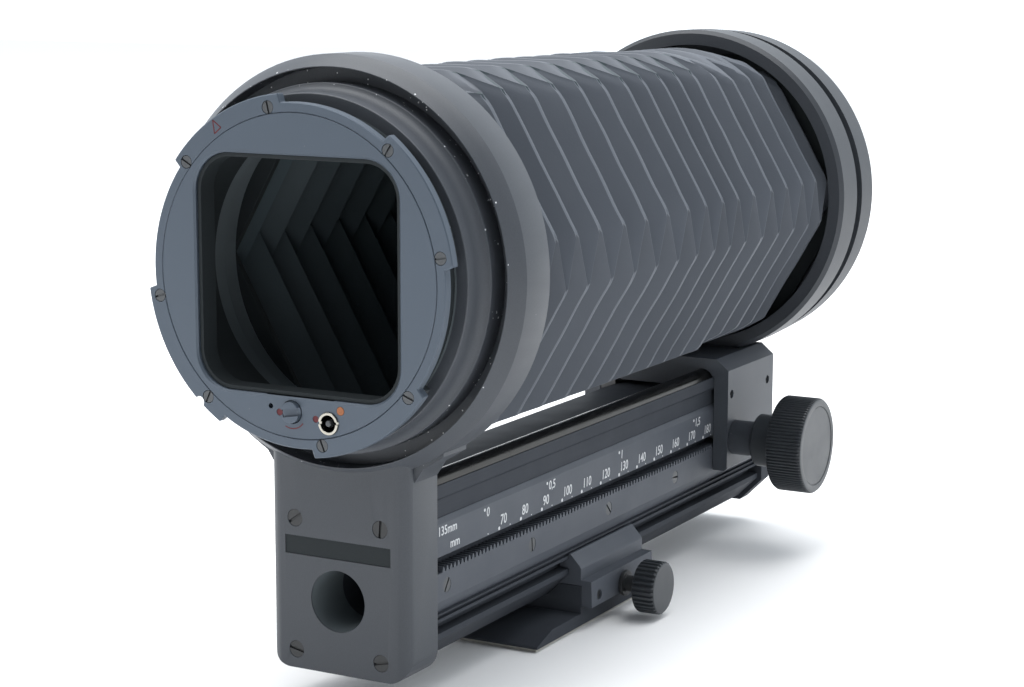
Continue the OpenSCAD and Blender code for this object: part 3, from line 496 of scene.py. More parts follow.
def grey(value, blue):
    """A neutral colour with a little more blue."""
    return (value, value * (1 + (blue - 1) * 0.45), value * blue)


def tint(colour):
    """A colour as a four-number socket value."""
    return (*colour, 1.0)


# ---------------- settings
class BELLOWS_PG_settings(bpy.types.PropertyGroup):
    """Sizes and colours of the bellows unit."""

    fold_depth: bpy.props.FloatProperty(
        name="Fold depth", description="How far a fold stands out from the mean side",
        default=0.003, min=0.001, max=0.005, unit="LENGTH", subtype="DISTANCE")
    side_distance: bpy.props.FloatProperty(
        name="Side distance", description="Mean distance from the axis to a side",
        default=0.033, min=0.03, max=0.034, unit="LENGTH", subtype="DISTANCE")
    edge_ease: bpy.props.FloatProperty(
        name="Edge ease", description="Width of the eased edges of the castings",
        default=0.00035, min=0.0001, max=0.001, unit="LENGTH", subtype="DISTANCE")
    casting_colour: bpy.props.FloatVectorProperty(
        name="Casting paint", description="Colour of the painted castings",
        default=(0.046, 0.0515, 0.061), min=0, max=1, subtype="COLOR")
    mount_colour: bpy.props.FloatVectorProperty(
        name="Mount metal", description="Colour of the mount plate and bayonet",
        default=(0.069, 0.088, 0.114), min=0, max=1, subtype="COLOR")
    cloth_colour: bpy.props.FloatVectorProperty(
        name="Bellows cloth", description="Colour of the coated cloth",
        default=(0.076, 0.086, 0.104), min=0, max=1, subtype="COLOR")
    rail_colour: bpy.props.FloatVectorProperty(
        name="Rail", description="Colour of the anodised rail",
        default=(0.04, 0.044, 0.052), min=0, max=1, subtype="COLOR")
    mark_colour: bpy.props.FloatVectorProperty(
        name="Scale marks", description="Colour of the figures on the scale",
        default=(0.62, 0.63, 0.64), min=0, max=1, subtype="COLOR")


# ---------------- operators
class BELLOWS_OT_materials(bpy.types.Operator):
    """Builds the shared effects and every material"""

    bl_idname = "bellows.materials"
    bl_label = "Materials"

    def execute(self, context):
        s = context.scene.bellows_unit
        for build in (build_paint_group, build_metal_group, build_cloth_group, build_hole_group,
                      build_speck_group):
            build()
        cast, mount, rail, marks = (np.array(colour) for colour in (
            s.casting_colour, s.mount_colour, s.rail_colour, s.mark_colour))
        # two tones, grain size, roughness, dust, metallic, specular, bump and its height
        paints = {
            "casting_paint": (cast * 0.82, cast * 1.3, 3600.0, 0.46, 0.35, 0.0, 0.4, 0.25, 0.05),
            # the carriage row is the casting paint made lighter, painted light; the lens row is the casting
            # paint made darker, painted shade
            "lit_casting_paint": (cast * 1.0625, cast * 1.625, 3600.0, 0.48, 0.3, 0.0, 0.4, 0.25, 0.05),
            "shaded_casting_paint": (cast * 0.663, cast * 1.014, 3600.0, 0.48, 0.3, 0.0, 0.4, 0.25, 0.05),
            "black_paint": ((0.014, 0.018, 0.02), (0.022, 0.027, 0.03), 3600.0, 0.7, 0.1, 0.0, 0.25, 0.2, 0.05),
            "mount_metal": (mount * 0.88, mount * 1.16, 6000.0, 0.42, 0.15, 0.3, 0.5, 0.1, 0.02),
            "cork_pad": ((0.42, 0.4, 0.36), (0.6, 0.58, 0.53), 1500.0, 0.8, 0.1, 0.0, 0.2, 0.5, 0.15),
            "red_paint": ((0.085, 0.01, 0.014), (0.12, 0.02, 0.025), 4000.0, 0.45, 0.0, 0.0, 0.3, 0.1, 0.02),
            "white_marks": (marks * 0.92, marks, 5000.0, 0.5, 0.0, 0.0, 0.5, 0.05, 0.01),
            "studio_floor": ((0.965, 0.955, 0.945), (0.985, 0.975, 0.965), 60.0, 0.9,
                             0.0, 0.0, 0.1, 0.02, 0.05)}
        for name, (low, high, grain, rough, dust, *rest) in paints.items():
            shaded(name, "paint_grain", {"Colour": tint(low), "Light Colour": tint(high), "Grain Size": grain,
                                         "Roughness": rough, "Dust": dust}, *rest)
        # two tones, stretch of the lines, roughness, strength of the lines, metallic, specular and bump
        drawn, rolled, even = (2400.0, 30.0, 2400.0), (2600.0, 40.0, 2600.0), (1500.0, 1500.0, 1500.0)
        metals = {
            "anodised_black": (rail * 1.2, rail * 0.8, rolled, 0.6, 0.35, 0.0, 0.06, 0.06),
            "anodised_grey": (rail * 2.0, rail * 1.5, rolled, 0.5, 0.35, 0.0, 0.2, 0.06),
            "knob_black": (grey(0.036, 1.3), grey(0.022, 1.3), (900.0, 2600.0, 2600.0), 0.4, 0.4,
                           0.0, 0.45, 0.05),
            "bright_steel": (grey(0.72, 1.02), grey(0.5, 1.02), drawn, 0.14, 0.35, 1.0, 0.5, 0.04),
            "rod_steel": ((0.06, 0.057, 0.052), (0.035, 0.033, 0.03), drawn, 0.24, 0.35, 1.0, 0.5, 0.04),
            "screw_steel": (grey(0.09, 1.1), grey(0.05, 1.1), even, 0.4, 0.5, 0.6, 0.5, 0.1),
            "screw_black": (grey(0.03, 1.1), grey(0.018, 1.1), even, 0.42, 0.5, 0.0, 0.4, 0.1),
            "nickel": ((0.42, 0.4, 0.35), (0.28, 0.265, 0.23), (1800.0,) * 3, 0.2, 0.35, 1.0, 0.5, 0.05),
            "bronze": ((0.11, 0.11, 0.112), (0.07, 0.07, 0.072), (1500.0, 60.0, 1500.0), 0.45, 0.4,
                       0.3, 0.5, 0.05),
            "copper": ((0.27, 0.11, 0.055), (0.14, 0.055, 0.03), even, 0.35, 0.3, 0.8, 0.5, 0.05)}
        for name, (low, high, stretch, rough, lines, *rest) in metals.items():
            shaded(name, "drawn_metal", {"Colour": tint(low), "Dark Colour": tint(high), "Stretch": stretch,
                                         "Roughness": rough, "Lines": lines}, *rest, 0.01)
        # The paler colour on the folds is wear and a painted highlight together.
        shaded("bellows_cloth", "coated_cloth", {
            "Colour": tint(s.cloth_colour), "Wear and Highlight Colour": tint(grey(0.2, 1.15)), "Pebble Size": 2400.0,
            "Roughness": 0.58, "Wear and Highlight": 0.85}, 0.0, 0.35, 0.22, 0.05)
        casting, black = (bpy.data.materials[name] for name in ("casting_paint", "black_paint"))
        # painted shade in the column's bore and in the rear standard's throat
        darken(casting, (((0, -70.1), 6.85, 14.4, 60.0), ((0, 0), 33.6, 2.0, 27.5)))
        dust_band(casting, 37.6, 41.6, 11.0, 18.5, 1100.0, 0.22, 0.9)
        dust_band(black, 33.2, 36.4, 1.9, 8.0, 1300.0, 0.25, 0.6)
        return {"FINISHED"}


# Pieces whose finish differs from the others of their slot. The carriage takes a lighter copy of the casting
# paint, painted light, and the lens standard and ring take a darker copy, painted shade.
OWN_FINISH = {"guide_rod": "rod_steel", "clamp_screw": "screw_black", "standard_screws": "screw_black",
              "cheek_screws": "screw_black", "clamp_pins": "screw_black", "name_plate": "black_paint",
              "lens_standard": "shaded_casting_paint", "lens_ring": "shaded_casting_paint", "carriage": "lit_casting_paint",
              "rack": "anodised_grey", "scale_plate": "anodised_grey", "clamp_jaw": "anodised_grey"}


def look_of(node):
    """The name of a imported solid's finish: its own, or else its slot's."""
    slot = slot_named(node)
    return OWN_FINISH.get(node, "cork_pad" if slot == "rubber" else slot)


class BELLOWS_OT_plain_nodes(bpy.types.Operator):
    """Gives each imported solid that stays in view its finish"""

    bl_idname = "bellows.plain_nodes"
    bl_label = "Packed solids"

    def execute(self, context):
        for name, node in frame["nodes"].items():
            node.data.materials.clear()
            node.data.materials.append(bpy.data.materials[look_of(name)])
        return {"FINISHED"}


class BELLOWS_OT_eased_solids(bpy.types.Operator):
    """Copies the castings and machined parts with eased edges that catch the light"""

    bl_idname = "bellows.eased_solids"
    bl_label = "Castings and machined parts"

    def execute(self, context):
        ease = context.scene.bellows_unit.edge_ease * 1000
        widths = {
            "rear_standard": ease * 1.3, "rear_collar": ease * 0.7, "mount_base": 0.12,
            "rail": ease * 0.55, "scale_plate": 0.12, "rail_end_plate": ease,
            "carriage": ease * 1.1, "lens_standard": ease, "lens_ring": ease * 0.8, "lens_bayonet": 0.15,
            "foot_plate": ease * 1.4, "clamp_jaw": ease * 2.2, "pinion_housing": 0.2, "knob_hub": 0.15,
            "clamp_screw": 0.15, "foot_pad": 0.15, "light_mask": 0.1, "rear_frame": 0.2, "front_frame": 0.2,
            "gib": 0.15, "standard_screws": 0.16, "mount_screws": 0.12}
        for node, width in widths.items():
            eased_copy(node, width)
        return {"FINISHED"}


# The mount, in mm: the opening's half side and corner, the plate, the bayonet ring with its tabs (from and
# to, in degrees), the screws round it, and what stands in the plate's lower edge.
OPENING, OPENING_CORNER, PLATE_RADIUS, PLATE_THICK = 24.2, 8.0, 32.65, 1.9
RING_RADIUS, TAB_RADIUS, TAB_RISE_DEG, RING_CHAMFER = 34.7, 36.5, 0.9, 0.2
TABS = ((6.1, 53.6), (94.8, 143.5), (186.4, 239.1), (275.6, 324.9))
MOUNT_SCREWS, SCREW_CIRCLE, SCREW_SEAT = (10.1, 50.1, 100.1, 140.1, 190.1, 230.1, 280.1, 320.1), 34.02, 1.36
LOCK_NOTCH_DEG, LOCK_NOTCH_RADIUS = 228.6, 1.2
SHAFT_AT, SLEEVE_AT, CONTACT_AT, LOCK_AT = (-1.2, -27.3), (7.6, -28.8), (10.4, -26.0), (-6.3, -26.5)
SHAFT_RADIUS, SHAFT_FACE, SHAFT_SLOT_DEG, SHAFT_SLOT_HALF = 2.2, -1.0, 10, 0.8
DOTS_AT = ((-4.2, -27.6), (4.5, -28.2))
INDEX_AT = (-18.5, 29.13)
INK, INK_FACE = 0.01, -0.02


def on_circle(radius, degrees):
    """The (x, z) point at a radius and an angle."""
    return radius * math.cos(math.radians(degrees)), radius * math.sin(math.radians(degrees))


def opening_radius(angle, grow=0.0):
    """Distance from the centre to a square with round corners: half over the larger of |cos| and |sin|, or
    along + root(along^2 - 2 centre^2 + corner^2) where the ray meets the corner circle."""
    c, s = np.abs(np.cos(angle)), np.abs(np.sin(angle))
    half, corner = OPENING + grow, OPENING_CORNER + grow
    centre = half - corner
    flat = half / np.maximum(c, s)
    along = centre * (c + s)
    arc = along + np.sqrt(np.maximum(along ** 2 - 2 * centre ** 2 + corner ** 2, 0))
    return np.where(flat * np.minimum(c, s) > centre, arc, flat)


def tab_radius(angle, inset=0.0):
    """Outer radius of the bayonet ring: the ring, plus the tab's step times a smooth rise at each
    end of a tab; an inset shrinks it evenly."""
    deg = np.degrees(angle) % 360
    step = np.zeros_like(deg)
    for low, high in TABS:
        shift = np.degrees(inset / TAB_RADIUS)
        rise = (np.clip((deg - low - shift) / TAB_RISE_DEG, 0, 1)
                * np.clip((high - shift - deg) / TAB_RISE_DEG, 0, 1))
        step = np.maximum(step, rise)
    return RING_RADIUS - inset + (TAB_RADIUS - RING_RADIUS) * step ** 2 * (3 - 2 * step)


def cut_ring():
    """The bayonet ring: points every degree and closer at the tabs, less the screws' seats and a notch."""
    near = [np.linspace(t - 1.6, t + 1.6, 33) for tab in TABS for t in tab]
    deg = np.unique(np.round(np.concatenate([np.arange(0, 360, 1.0)] + near), 3) % 360)
    angle = np.radians(deg)
    flat = np.ones_like(angle)
    inner = PLATE_RADIUS + 0.05
    shape = rim_net([
        (flat * inner, PLATE_THICK), (flat * inner, 0.16), (flat * (PLATE_RADIUS + RING_CHAMFER), 0.0),
        (tab_radius(angle, 0.22), 0.0), (tab_radius(angle), RING_CHAMFER), (tab_radius(angle), PLATE_THICK)],
        angle)
    tools = [prism_y(round_outline(on_circle(SCREW_CIRCLE, a), SCREW_SEAT), -1, 1.15) for a in MOUNT_SCREWS]
    tools.append(prism_y(round_outline(on_circle(TAB_RADIUS, LOCK_NOTCH_DEG), LOCK_NOTCH_RADIUS), -1, 3))
    cut_piece("bayonet_ring_cut", shape, tools, "bayonet_ring", "mount_metal")


def cut_plate():
    """The mount plate: a round rim and a square opening, less the holes for what stands in it."""
    angle = np.radians(np.arange(0, 360, 0.75))
    flat = np.ones_like(angle)
    shape = rim_net([
        (opening_radius(angle), PLATE_THICK), (opening_radius(angle), 0.4), (opening_radius(angle, 0.42), 0.0),
        (flat * (PLATE_RADIUS - 0.14), 0.0), (flat * PLATE_RADIUS, 0.14), (flat * PLATE_RADIUS, PLATE_THICK)],
        angle)
    holes = ((SHAFT_AT, 2.42), (SLEEVE_AT, 2.36), (CONTACT_AT, 0.92), (LOCK_AT, 0.55))
    tools = [prism_y(round_outline(centre, radius), -1, 3) for centre, radius in holes]
    tools.append(prism_y([(-8.1, -23), (-7.3, -25.0), (7.3, -25.0), (8.6, -24.2), (8.6, -23)], 0.35, 3))
    tools += [prism_y(round_outline(p, 0.72), -1, 0.45) for p in DOTS_AT]
    cut_piece("mount_plate_cut", shape, tools, "mount_plate", "mount_metal")


def turn_shaft():
    """The cocking shaft with the slot in its face."""
    profile = soften([(0.01, SHAFT_FACE), (SHAFT_RADIUS, SHAFT_FACE), (SHAFT_RADIUS, 8.1), (0.01, 8.1)],
                     (0.0, 0.22, 0.1, 0.0))
    tilt = math.radians(SHAFT_SLOT_DEG)
    along, across = np.array((math.cos(tilt), math.sin(tilt))), np.array((-math.sin(tilt), math.cos(tilt)))
    slot = [np.array(SHAFT_AT) + 4 * i * along + SHAFT_SLOT_HALF * j * across
            for i, j in ((-1, -1), (1, -1), (1, 1), (-1, 1))]
    cut_piece("cocking_shaft_slotted", turned_at(SHAFT_AT, profile, 64), [prism_y(slot, -3, -0.05)],
              "cocking_shaft", "mount_metal")


def turn_plunger():
    """The slotted sleeve and the release pin inside it."""
    profile = soften([(1.72, -0.4), (2.3, -0.4), (2.3, 5.9), (2.12, 5.9), (2.12, 0.5), (1.72, 0.2)], 0.12)
    slot = prism_y([(3.6, -29.15), (11.6, -28.75), (11.6, -28.2), (3.6, -28.6)], -2, 0.05)
    cut_piece("plunger_sleeve_slotted", turned_at(SLEEVE_AT, profile, 96), [slot], "plunger_sleeve", "nickel")
    profile = soften([(0.01, -0.35), (0.55, -0.35), (0.75, 0.1), (0.75, 3.4), (1.15, 3.6), (1.15, 9.4),
                      (0.01, 9.4)], (0.0, 0.12, 0.1, 0.1, 0.1, 0.1, 0.0))
    mesh = mesh_from("release_plunger_pin", *turned_at(SLEEVE_AT, profile, 48))
    stand_in("release_plunger_pin", mesh, "release_plunger", "screw_steel")


def paint_marks():
    """Two dots sunk in the plate, the index triangle as three thin strokes, and the arc under the shaft:
    each stroke is a closed strip 0.03 mm thick along its line."""
    parts = [prism_y(round_outline(p, 0.7, 24), 0.1, 0.45) for p in DOTS_AT]
    corners = np.array([(-0.8, 1.37), (1.2, -0.03), (-0.4, -1.33)]) + INDEX_AT
    for a, b in zip(corners, np.roll(corners, -1, 0)):
        along = (b - a) / np.linalg.norm(b - a)
        side = np.array((-along[1], along[0])) * 0.13
        parts.append(prism_y([a - side, b - side, b + side, a + side], INK_FACE, INK))
    arc = np.radians(np.linspace(-118, -38, 25))
    ring = np.stack([np.cos(arc), np.sin(arc)], 1)
    parts.append(prism_y(np.concatenate([ring * 3.25, ring[::-1] * 3.5]) + SHAFT_AT, INK_FACE, INK))
    stand_in("red_index_marks", joined("red_index_marks", parts), "red_marks", "red_paint")


class BELLOWS_OT_mount(bpy.types.Operator):
    """Cuts the bayonet ring and the mount plate, and turns the cocking shaft and the release plunger"""

    bl_idname = "bellows.mount"
    bl_label = "Rear mount"

    def execute(self, context):
        for make in (cut_ring, cut_plate, turn_shaft, turn_plunger, paint_marks):
            make()
        return {"FINISHED"}


# The bellows' ends, the carriage's travel and the cloth's thickness in mm, its half pleats, and the
# angle past which a fold stays sharp.
BELLOWS_START, BELLOWS_END, TRAVEL, CLOTH = 27.8, 197.0, 138.5, 0.5
PLEATS, FOLD_SMOOTH_DEG = 33, 24.0
# How much further out than the mean each side runs between the frames (side i faces 30 + 60 i degrees),
# its share of the fold depth, half the flat strip along a ridge in stations, and how far and how wide the
# fold at the far end of each side is rounded.
SIDE_EXTRA = (0.0, 4.8, 0.0, 0.0, 3.8, 0.0)
SIDE_FOLD = (1.0, 0.6, 1.0, 1.0, 0.6, 1.0)
FLAT_RIDGE = 0.12
CORNER_PULL = (0.9, 0.9, 0.25, 0.25, 0.25, 0.25)
CORNER_REACH = (2.4, 2.4, 1.0, 1.0, 1.0, 1.0)
# The cloth's random relief: its seed, how far it bows in, and the height of its waves and pockets.
SEED, BOW_IN, WAVE_HEIGHT, POCKET_DEPTH = 11, 0.22, 0.035, 0.6
# From BORE_FROM on, the cloth stays within BORE_ROOM of the axis, and before it the limit rises by BORE_RISE.
BORE_FROM, BORE_ROOM, BORE_RISE = 157, 39.5, 0.32
# Even stations are the ridges of the upper right side, read along the bellows; station 1 is the first valley.
RIDGE_Y = (38.9, 48.1, 58.9, 70.6, 81.8, 93.1, 104.4, 114.4, 124.3, 133.4, 143.1, 154.7,
           164.5, 175.2, 184.4, 192.6)
FIRST_VALLEY = 33.1
# Where a half pleat and a side are sampled, as shares of their length.
WITHIN = np.array([0, 0.09, 0.12, 0.15, 0.33, 0.5, 0.67, 0.85, 0.88, 0.91, 0.98])
ACROSS = np.array([0, 0.005, 0.016, 0.04, 0.07, 0.1, 0.135, 0.17, 0.22, 0.3, 0.4, 0.5, 0.6, 0.7, 0.78, 0.83,
                   0.865, 0.9, 0.93, 0.96, 0.984, 0.995])


def fold_stations():
    """Fold positions: the frame, then ridge and valley in turn with each valley halfway, then the frame."""
    ridges = np.array(RIDGE_Y)
    stations = np.empty(PLEATS + 1)
    stations[2:PLEATS:2] = ridges
    stations[3:PLEATS:2] = (ridges[:-1] + ridges[1:]) / 2
    stations[0], stations[1], stations[PLEATS] = BELLOWS_START, FIRST_VALLEY, BELLOWS_END
    return stations


def by_side(values):
    """One value for each side, as an array that spreads over rows and samples."""
    return np.array(values)[:, None, None]


def wall(phase, mid, depth, soft):
    """Points of the folded wall, row by row, and how close each one is to a ridge or a corner fold.

    Side i lies in the plane at distance d(i) from the axis, where d(i) = mean + extra + depth * lift. The
    lift runs straight from -1 to +1 and stays there on a flat strip round each ridge: even stations for
    even sides, odd stations for odd ones. Side i ends where it meets its neighbour, at
    s = (d(i+1) - d(i) cos 60) / sin 60 along the side. The last 41 mm fold into the lens standard's bore
    and stay within it."""
    y = np.interp(phase, np.arange(PLEATS + 1), fold_stations())
    saw = 2 * np.abs((phase % 2) - 1) - 1
    swing = np.where(np.arange(6)[:, None] % 2 == 0, 1, -1) * saw[None]
    lift = np.minimum((swing + 1) / (1 - FLAT_RIDGE) - 1, 1)
    fade = np.clip(np.minimum(phase, PLEATS - phase), 0, 1)
    extra = np.array(SIDE_EXTRA)[:, None] * (np.clip((y - 30) / 10, 0, 1) * np.clip((192 - y) / 8, 0, 1))[None]
    dist = mid + extra + lift * fade[None] * depth * np.array(SIDE_FOLD)[:, None]
    right = (np.roll(dist, -1, 0) - 0.5 * dist) / math.sin(math.pi / 3)
    left = -(np.roll(dist, 1, 0) - 0.5 * dist) / math.sin(math.pi / 3)
    along = left[:, :, None] + (right - left)[:, :, None] * ACROSS
    to_left, to_right = along - left[:, :, None], right[:, :, None] - along
    fade = fade[None, :, None]
    out = dist[:, :, None] + (soft_relief(phase, y, lift, along, to_left, to_right) * fade if soft else 0)
    shrink = np.ones_like(along)
    if soft:
        pull, reach = by_side(CORNER_PULL), by_side(CORNER_REACH)
        drawn = pull * np.exp(-(to_right / reach) ** 2)
        drawn += np.roll(pull, 1, 0) * np.exp(-(to_left / np.roll(reach, 1, 0)) ** 2)
        shrink = 1 - drawn * fade / np.hypot(out, along)
    room = BORE_ROOM + BORE_RISE * np.maximum(BORE_FROM - y, 0)[None, :, None] - (0.0 if soft else CLOTH)
    shrink = np.minimum(shrink, room / np.hypot(out, along))
    angle = by_side(np.radians(30 + 60 * np.arange(6)))
    px, pz = out * np.cos(angle) - along * np.sin(angle), out * np.sin(angle) + along * np.cos(angle)
    points = np.stack([px * shrink, np.broadcast_to(y[None, :, None], along.shape), pz * shrink], -1)
    ridge = worn_lines(phase, lift, to_left, to_right) * fade
    return np.transpose(points, (1, 0, 2, 3)).reshape(-1, 3), np.transpose(ridge, (1, 0, 2)).ravel()


def soft_relief(phase, y, lift, along, to_left, to_right):
    """How far the cloth stands out of its flat panels in mm: it bows in a little between folds, waves
    softly as a sum of seven slow sines on each side, and has small pockets beside its corners."""
    rng = np.random.default_rng(SEED)
    between = np.abs(np.sin(np.pi * phase))[None, :, None]
    edge = np.clip(np.minimum(to_left, to_right) / 3.0, 0, 1)
    valley = ((1 - lift) / 2)[:, :, None] ** 2
    bulge = -BOW_IN * between * edge
    for side in range(6):
        for _ in range(7):
            ks, ky = rng.uniform(0.1, 0.5), rng.uniform(0.05, 0.35)
            wave = np.sin(ks * along[side] + ky * y[:, None] + rng.uniform(0, 6.28))
            bulge[side] += WAVE_HEIGHT * wave * edge[side]
    pair = np.minimum((phase / 2).astype(int), 16)
    for gap in (to_left, to_right):
        deep = rng.uniform(0.3, 1.0, (6, 17))[:, pair][:, :, None]
        where = rng.uniform(3.0, 5.0, (6, 17))[:, pair][:, :, None]
        pocket = np.exp(-((gap - where) / 1.5) ** 2) - 1.1 * np.exp(-((gap - where - 2.8) / 1.6) ** 2)
        bulge += POCKET_DEPTH * deep * pocket * valley * between * edge
    return bulge


def worn_lines(phase, lift, to_left, to_right):
    """1 on the pale line past each ridge's flat strip, a little on the strip, and up to 0.8 on corners: wear on
    the folds, and a painted highlight where light catches them.
    """
    past = (phase[None] - np.arange(6)[:, None] % 2 + 1) % 2 - 1
    line = np.clip(1 - np.abs(past - FLAT_RIDGE) / 0.03, 0, 1)
    fold = np.maximum(line, 0.08 * (lift > 0.999))[:, :, None]
    worn_and_lit = np.clip(1.1 - by_side(CORNER_PULL), 0.2, 0.8)
    corner = np.maximum(np.clip(1 - to_right / 0.16, 0, 1) * worn_and_lit,
                        np.clip(1 - to_left / 0.16, 0, 1) * np.roll(worn_and_lit, 1, 0))
    return np.maximum(fold, corner)


class BELLOWS_OT_bellows(bpy.types.Operator):
    """Folds the six-sided bellows, with neighbouring sides half a pleat out of step"""

    bl_idname = "bellows.folds"
    bl_label = "Bellows"

    def execute(self, context):
        s = context.scene.bellows_unit
        mid, depth = s.side_distance * 1000, s.fold_depth * 1000
        phase = np.append((np.arange(PLEATS)[:, None] + WITHIN[None]).ravel(), float(PLEATS))
        points, ridge = wall(phase, mid, depth, True)
        inner, _ = wall(np.arange(PLEATS + 1.0), mid - CLOTH, depth, False)
        rows, cols = len(phase), 6 * len(ACROSS)
        quads = quad_net(rows, cols, False)
        inner_quads = quad_net(PLEATS + 1, cols, False) + rows * cols
        j = np.arange(cols)
        j2 = (j + 1) % cols
        last, first_in, last_in = (rows - 1) * cols, rows * cols, (rows + PLEATS) * cols
        caps = np.concatenate([np.stack([j, j2, first_in + j2, first_in + j], 1),
                               np.stack([last + j, last + j2, last_in + j2, last_in + j], 1)])
        none = np.zeros(len(inner))
        marks = {"ridge": np.concatenate([ridge, none]),
                 "lining": np.concatenate([np.zeros(len(points)), none + 1])}
        mesh = mesh_from("bellows_folds", np.concatenate([points, inner]),
                         np.concatenate([quads, inner_quads, caps]), FOLD_SMOOTH_DEG, marks)
        piece = stand_in("bellows_folds", mesh, "bellows", "bellows_cloth")
        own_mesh(piece)
        return {"FINISHED"}


def dense_profile(profile, step):
    """Closed profile with extra points so that no side is longer than the step."""
    out = []
    for a, b in zip(profile, np.roll(profile, -1, 0)):
        n = max(1, int(np.ceil(np.linalg.norm(b - a) / step)))
        out.append(a + (b - a) * np.linspace(0, 1, n, endpoint=False)[:, None])
    return np.concatenate(out)


def ribbed_knob(node, place, profile, segments, ribs, depth, band):
    """A turned knob with ribs round an X axis at place (y, z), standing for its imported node."""
    p, quads = turned_ring(profile, segments, ribs, depth, band)
    points = np.stack([p[:, 1], place[0] + p[:, 0], place[1] + p[:, 2]], -1)
    name = node + "_ribbed"
    stand_in(name, mesh_from(name, points, quads, KNOB_SMOOTH_DEG), node, "knob_black")


# Where the knobs' axes run (y, z), and for each the ribs' number and depth and the band that they fill:
# from and to along X, and outside a radius.
FOCUS_KNOB_AT, FOCUS_RIBS, FOCUS_BAND = (175.0, -62.6), (90, 0.35), (34.9, 43.7, 11.0)
CLAMP_KNOB_AT, CLAMP_RIBS, CLAMP_BAND = (104.0, -84.9), (32, 0.45), (27.95, 33.1, 5.2)
KNOB_SMOOTH_DEG = 30.0


class BELLOWS_OT_knobs(bpy.types.Operator):
    """Turns the ribbed focus knob and the clamp knob"""

    bl_idname = "bellows.knobs"
    bl_label = "Knobs"

    def execute(self, context):
        focus = soften([(2.05, 34.5), (12.0, 34.5), (12.5, 35.1), (12.5, 43.5), (12.0, 44.1), (10.3, 44.1),
                        (10.3, 43.65), (2.05, 43.65)], 0.22)
        ribbed_knob("focus_knob", FOCUS_KNOB_AT, dense_profile(focus, 2.5), 720, *FOCUS_RIBS, FOCUS_BAND)
        clamp = soften([(2.05, 27.6), (5.8, 27.6), (6.35, 28.1), (6.35, 32.9), (5.8, 33.4), (0.01, 33.4),
                        (0.01, 32.5), (2.05, 32.5)], (0.1, 0.2, 0.2, 0.2, 0.2, 0.0, 0.0, 0.0))
        ribbed_knob("clamp_knob", CLAMP_KNOB_AT, dense_profile(clamp, 1.5), 416, *CLAMP_RIBS, CLAMP_BAND)
        return {"FINISHED"}


# The figures: height of a capital over the type size, and how much each stroke is thickened and
# how thick it lies, in mm.
CAP_SHARE, BOLDER, INK_THICK, DOT_SIDES = 0.72, 0.03, 0.02, 20
# The face of the scale plate, the mark that would lie at y = 0, and what is read along the upper row.
SCALE_X, SCALE_ZERO = 16.62, 16.4
UPPER_ROW = (("0", 63.6), ("0,5", 92.6), ("1", 130.0), ("1,5", 174.0))


def word_mesh(words, height):
    """Flat letters as a closed mesh of the given height in millimetres, standing on y = 0 from x = 0."""
    curve = bpy.data.curves.new("figures", "FONT")
    curve.body = words
    curve.size = height / CAP_SHARE
    curve.extrude = INK_THICK
    curve.offset = BOLDER
    curve.resolution_u = 3
    holder = linked("figures", curve)
    mesh = evaluated_mesh(holder)
    bpy.data.objects.remove(holder)
    shape = coordinates(mesh), [tuple(p.vertices) for p in mesh.polygons]
    bpy.data.meshes.remove(mesh)
    return shape


def round_dot(radius):
    """A flat round dot as a short prism, lying as the letters do."""
    points, faces = prism_y(round_outline((0, 0), radius, DOT_SIDES), -INK_THICK, INK_THICK)
    return points[:, [0, 2, 1]], faces


class BELLOWS_OT_scale_marks(bpy.types.Operator):
    """Puts the white figures and dots on the scale plate"""

    bl_idname = "bellows.scale_marks"
    bl_label = "Scale figures"

    def execute(self, context):
        parts = []

        def put(shape, y, z, squeeze=1.0, slant=0.0):
            pts, faces = shape
            local = pts[:, 0] * squeeze + slant * pts[:, 1]
            moved = np.stack([SCALE_X + pts[:, 2] * 0.5, y + local, z + pts[:, 1]], 1)
            parts.append((moved, faces))

        for mark in range(65, 205, 5):
            big = mark % 10 == 0
            put(round_dot(0.42 if big else 0.17), mark - SCALE_ZERO, -61.05 if big else -61.2)
            if big:
                put(word_mesh(str(mark), 2.3), mark - SCALE_ZERO + 0.5, -60.35, 0.92, 0.08)
        for label, mark in UPPER_ROW:
            put(round_dot(0.36), mark - SCALE_ZERO, -55.55)
            put(word_mesh(label, 2.1), mark - SCALE_ZERO + 0.75, -57.2, 0.92, 0.08)
        put(word_mesh("135mm", 2.0), 27.2, -57.05, 0.95)
        put(word_mesh("mm", 2.0), 32.3, -60.5, 0.95)
        add_piece("scale_figures", joined("scale_figures", parts), "rail_unit", "white_marks")
        return {"FINISHED"}


# The light: its colour, the direction in which it falls off, and the share of that direction between which
# its strength goes from bright to dim.
SKY, DIM_SIDE = (0.88, 0.94, 1.0, 1.0), (0.1, -0.98, -0.15)
SKY_FALL = {"From Min": -0.3, "From Max": 0.45, "To Min": 1.56, "To Max": 0.34}
# Lamps: name, energy in W, side in m, place and aim.
LAMPS = (("overhead", 29.0, 1.6, (-0.2, 0.15, 1.5), (-0.16, 0.12, 0.0)),
         ("left_side", 8.0, 0.9, (-1.0, -1.1, 1.1), (0.0, 0.0, 0.08)))
# The photo's view, solved from the photo: focal length, place in mm from the mount, azimuth, elevation, roll.
LENS_MM, SENSOR_MM, EYE_AT = 78.98, 36.0, (249.985, -366.369, 61.858)
AZIMUTH, ELEVATION, ROLL = (math.radians(a) for a in (28.733, 9.645, 0.113))
FLOOR_HALF = 3.0


